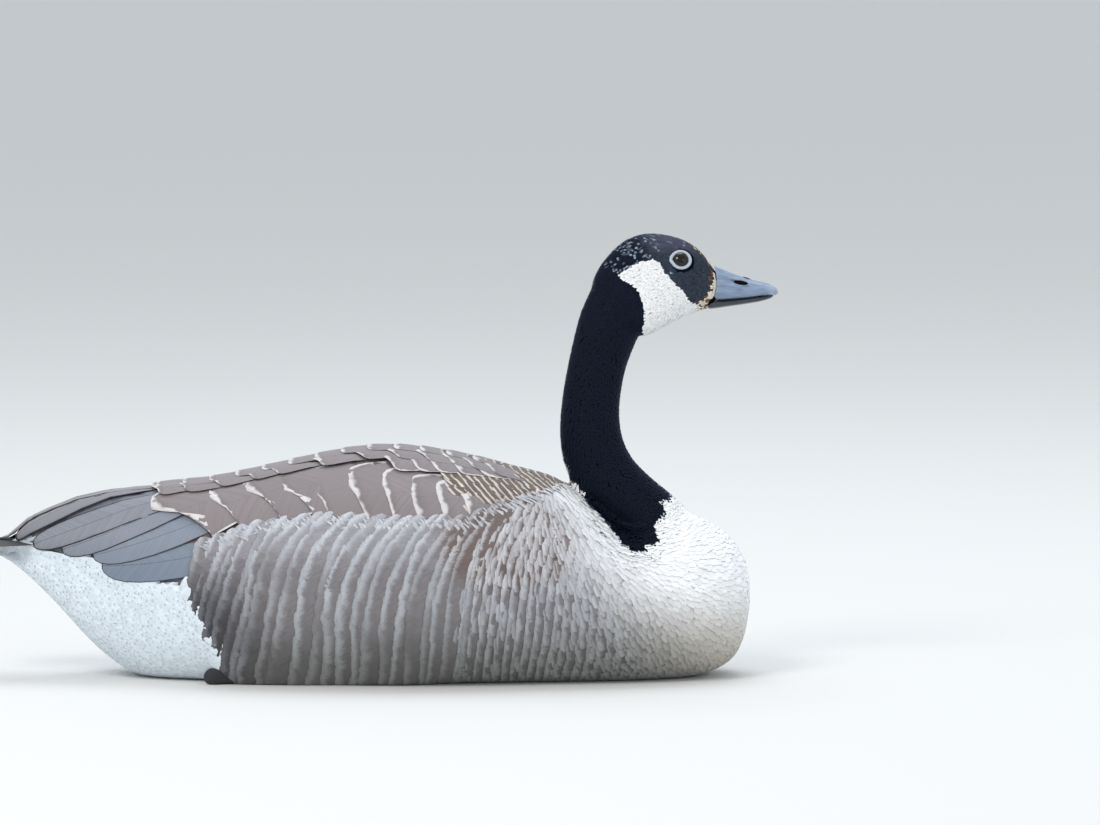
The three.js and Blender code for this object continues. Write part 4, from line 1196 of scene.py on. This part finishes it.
bumped = node(tree, "Bump", {"Height": relief, "Distance": 0.0003, "Strength": 0.6}).outputs["Normal"]
surface(tree, Base_Color=colour, Roughness=0.38, Specular_IOR_Level=0.5, Coat_Weight=0.15,
        Coat_Roughness=0.3, Normal=bumped)


def remeshed(name, nodes, size, rounds, material):
    """A finer, smoother copy of CAD nodes as one piece."""
    made = joined_copy(nodes)
    made.name = name
    bpy.ops.object.modifier_add(type="REMESH")
    made.modifiers[-1].mode = "VOXEL"
    made.modifiers[-1].voxel_size = size
    bpy.ops.object.modifier_apply(modifier=made.modifiers[-1].name)
    bpy.ops.object.modifier_add(type="SMOOTH")
    made.modifiers[-1].factor = 0.5
    made.modifiers[-1].iterations = rounds
    bpy.ops.object.modifier_apply(modifier=made.modifiers[-1].name)
    bpy.ops.object.shade_smooth()
    made.data.materials.clear()
    made.data.materials.append(material)
    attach(made, "root")
    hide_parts(*nodes)
    return made


for half in ("bill_upper", "bill_lower"):
    remeshed(half + "_horn", [half], 0.45 * MM, 5, horn)
# A dark plug in the open nostril stands for the shadow inside it.
bpy.ops.mesh.primitive_uv_sphere_add(segments=32, ring_count=16, radius=1, location=SHADOW_PLUG_AT)
shadow_plug = bpy.context.object
shadow_plug.name = "nostril_septum"
shadow_plug.scale = SHADOW_PLUG_HALF
bpy.ops.object.transform_apply(location=True, scale=True)
bpy.ops.object.shade_smooth()
# Painted shadow inside the nostril: nearly black, with a faint grain.
nostril_shadow, tree = new_material("painted shadow inside the nostril")
grain = node(tree, "TexNoise", {"Scale": 1200.0, "Detail": 3.0}).outputs["Fac"]
shade = node(tree, "MapRange", {"Value": grain, "To Min": 0.6, "To Max": 1.2}).outputs["Result"]
lining = tuple(linear("#17181b"))
colour = node(tree, "VectorMath", {0: lining, "Scale": shade}, operation="SCALE").outputs[0]
surface(tree, Base_Color=colour, Roughness=0.7)
shadow_plug.data.materials.append(nostril_shadow)
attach(shadow_plug, "root")

# Each eye is a wet dark ball with a brown iris. The lids round it are a ring of pale bare skin that comes
# to a point behind, and lie close on the ball.
BALL, BALL_RADIUS = (233.4, 11.2, 316), 8          # mm, on the left side
LOOK_UP, LOOK_AHEAD = 21, 12                       # degrees
LID_RING, LID_THICK, LID_LONG = 6.4, 1.3, 1.1
PUPIL, IRIS = 3.4, 6.2
# A wet clear cornea gives one sharp highlight over a nearly black iris.
wet_eye, tree = new_material("wet dark eye")
here = node(tree, "TexCoord").outputs["Object"]
from_middle = node(tree, "VectorMath", {0: here}, operation="ABSOLUTE").outputs[0]
ball_at = tuple(v * MM for v in BALL)
from_ball = node(tree, "VectorMath", {0: from_middle, 1: ball_at}, operation="SUBTRACT").outputs[0]
up_way, ahead_way = np.radians(LOOK_UP), np.radians(LOOK_AHEAD)
gaze = np.array([np.sin(ahead_way) * np.cos(up_way), np.cos(ahead_way) * np.cos(up_way), np.sin(up_way)])
off_axis = node(tree, "VectorMath", {0: from_ball, 1: tuple(gaze)}, operation="CROSS_PRODUCT").outputs[0]
off = node(tree, "VectorMath", {0: off_axis}, operation="LENGTH").outputs["Value"]
share = node(tree, "MapRange", {"Value": off, "From Max": BALL_RADIUS * MM}).outputs[0]
ring = node(tree, "ValToRGB", {0: share})
stops = ring.color_ramp.elements
stops[0].position, stops[0].color = PUPIL / BALL_RADIUS, (*linear("#050506"), 1)
stops[1].position, stops[1].color = PUPIL / BALL_RADIUS + 0.04, (*linear("#241711"), 1)
middle_stop = stops.new(IRIS / BALL_RADIUS)
middle_stop.color = (*linear("#1a110d"), 1)
edge_stop = stops.new(IRIS / BALL_RADIUS + 0.06)
edge_stop.color = (*linear("#0b0909"), 1)
fibres = node(tree, "TexNoise", {"Vector": from_ball, "Scale": 900.0, "Detail": 4.0}).outputs["Fac"]
vary = node(tree, "MapRange", {"Value": fibres, "From Min": 0.3, "From Max": 0.7,
                               "To Min": 0.7, "To Max": 1.4}).outputs["Result"]
colour = node(tree, "VectorMath", {0: ring.outputs["Color"], "Scale": vary}, operation="SCALE").outputs[0]
surface(tree, Base_Color=colour, Roughness=0.3, Specular_IOR_Level=0.0, Coat_Weight=1.0, Coat_IOR=1.42,
        Coat_Roughness=0.03)
# Dry bare skin with fine wrinkles, paler than all round it.
lid_skin, tree = new_material("pale bare lid")
wrinkles = node(tree, "TexNoise", {"Scale": 1500.0, "Detail": 3.0}).outputs["Fac"]
shade = node(tree, "MapRange", {"Value": wrinkles, "From Min": 0.3, "From Max": 0.7,
                                "To Min": 0.75, "To Max": 1.1}).outputs["Result"]
pale = tuple(linear("#bcc8d2"))
colour = node(tree, "VectorMath", {0: pale, "Scale": shade}, operation="SCALE").outputs[0]
bumped = node(tree, "Bump", {"Height": wrinkles, "Distance": 0.0003, "Strength": 0.6}).outputs["Normal"]
surface(tree, Base_Color=colour, Roughness=0.55, Specular_IOR_Level=0.4, Normal=bumped)
for word, side in (("right", -1), ("left", 1)):
    mirror = np.array([1, side, 1])
    bpy.ops.object.select_all(action="DESELECT")
    bpy.ops.mesh.primitive_uv_sphere_add(segments=64, ring_count=40, radius=BALL_RADIUS * MM,
                                         location=tuple(np.array(BALL) * mirror * MM))
    eye = bpy.context.object
    eye.name = f"eyeball_{word}"
    bpy.ops.object.transform_apply(location=True)
    bpy.ops.object.shade_smooth()
    eye.data.materials.append(wet_eye)
    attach(eye, "root")
    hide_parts(f"eye_{word}")
    bpy.ops.object.select_all(action="DESELECT")
    bpy.ops.mesh.primitive_torus_add(major_segments=96, minor_segments=16, major_radius=LID_RING * MM,
                                     minor_radius=LID_THICK * MM)
    lids = bpy.context.object
    lids.name = f"lids_{word}"
    spots = np.array([v.co[:] for v in lids.data.vertices])
    round_at = np.arctan2(spots[:, 1], spots[:, 0])
    corner = np.exp(-((np.abs(round_at) - np.pi) / 0.35) ** 2)
    spots[:, 0] *= LID_LONG * (1 + 0.14 * corner)
    spots[:, 1] *= 1 - 0.12 * corner
    facing = gaze * mirror
    ahead = unit(np.array([1.0, 0, 0]) - facing[0] * facing)
    upward_way = np.cross(facing, ahead) * -side
    depth = np.sqrt(BALL_RADIUS**2 - LID_RING**2) * MM
    bulge = spots[:, 2] * 0.8 - 0.4 * MM * corner
    spots = (np.array(BALL) * mirror * MM + spots[:, :1] * ahead + spots[:, 1:2] * upward_way
             + (depth + bulge)[:, None] * facing)
    for vertex, spot in zip(lids.data.vertices, spots):
        vertex.co = spot
    bpy.ops.object.mode_set(mode="EDIT")
    bpy.ops.mesh.select_all(action="SELECT")
    bpy.ops.mesh.normals_make_consistent(inside=False)
    bpy.ops.object.mode_set(mode="OBJECT")
    bpy.ops.object.shade_smooth()
    lids.data.materials.append(lid_skin)
    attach(lids, "root")

# The legs lie folded under the belly, dark and scaly. Only the heel shows behind, under the flank. They
# are the solids, remeshed finer and smoothed.
SCALES = 420.0      # makes the skin's scales 2.4 mm wide
# Horny scales with dark grooves between them, dull and dry.
scaly, tree = new_material("dark scaly leg skin")
plates = node(tree, "TexVoronoi", {"Scale": SCALES}, feature="DISTANCE_TO_EDGE").outputs["Distance"]
groove = node(tree, "MapRange", {"Value": plates, "From Max": 0.12,
                                 "To Min": 0.5, "To Max": 1.0}).outputs["Result"]
slate = tuple(linear("#3b3d40"))
colour = node(tree, "VectorMath", {0: slate, "Scale": groove}, operation="SCALE").outputs[0]
bumped = node(tree, "Bump", {"Height": groove, "Distance": 0.0005, "Strength": 0.7}).outputs["Normal"]
surface(tree, Base_Color=colour, Roughness=0.6, Specular_IOR_Level=0.4, Normal=bumped)
for word in ("right", "left"):
    remeshed(f"folded_leg_{word}", [f"leg_{word}"], 0.8 * MM, 4, scaly)
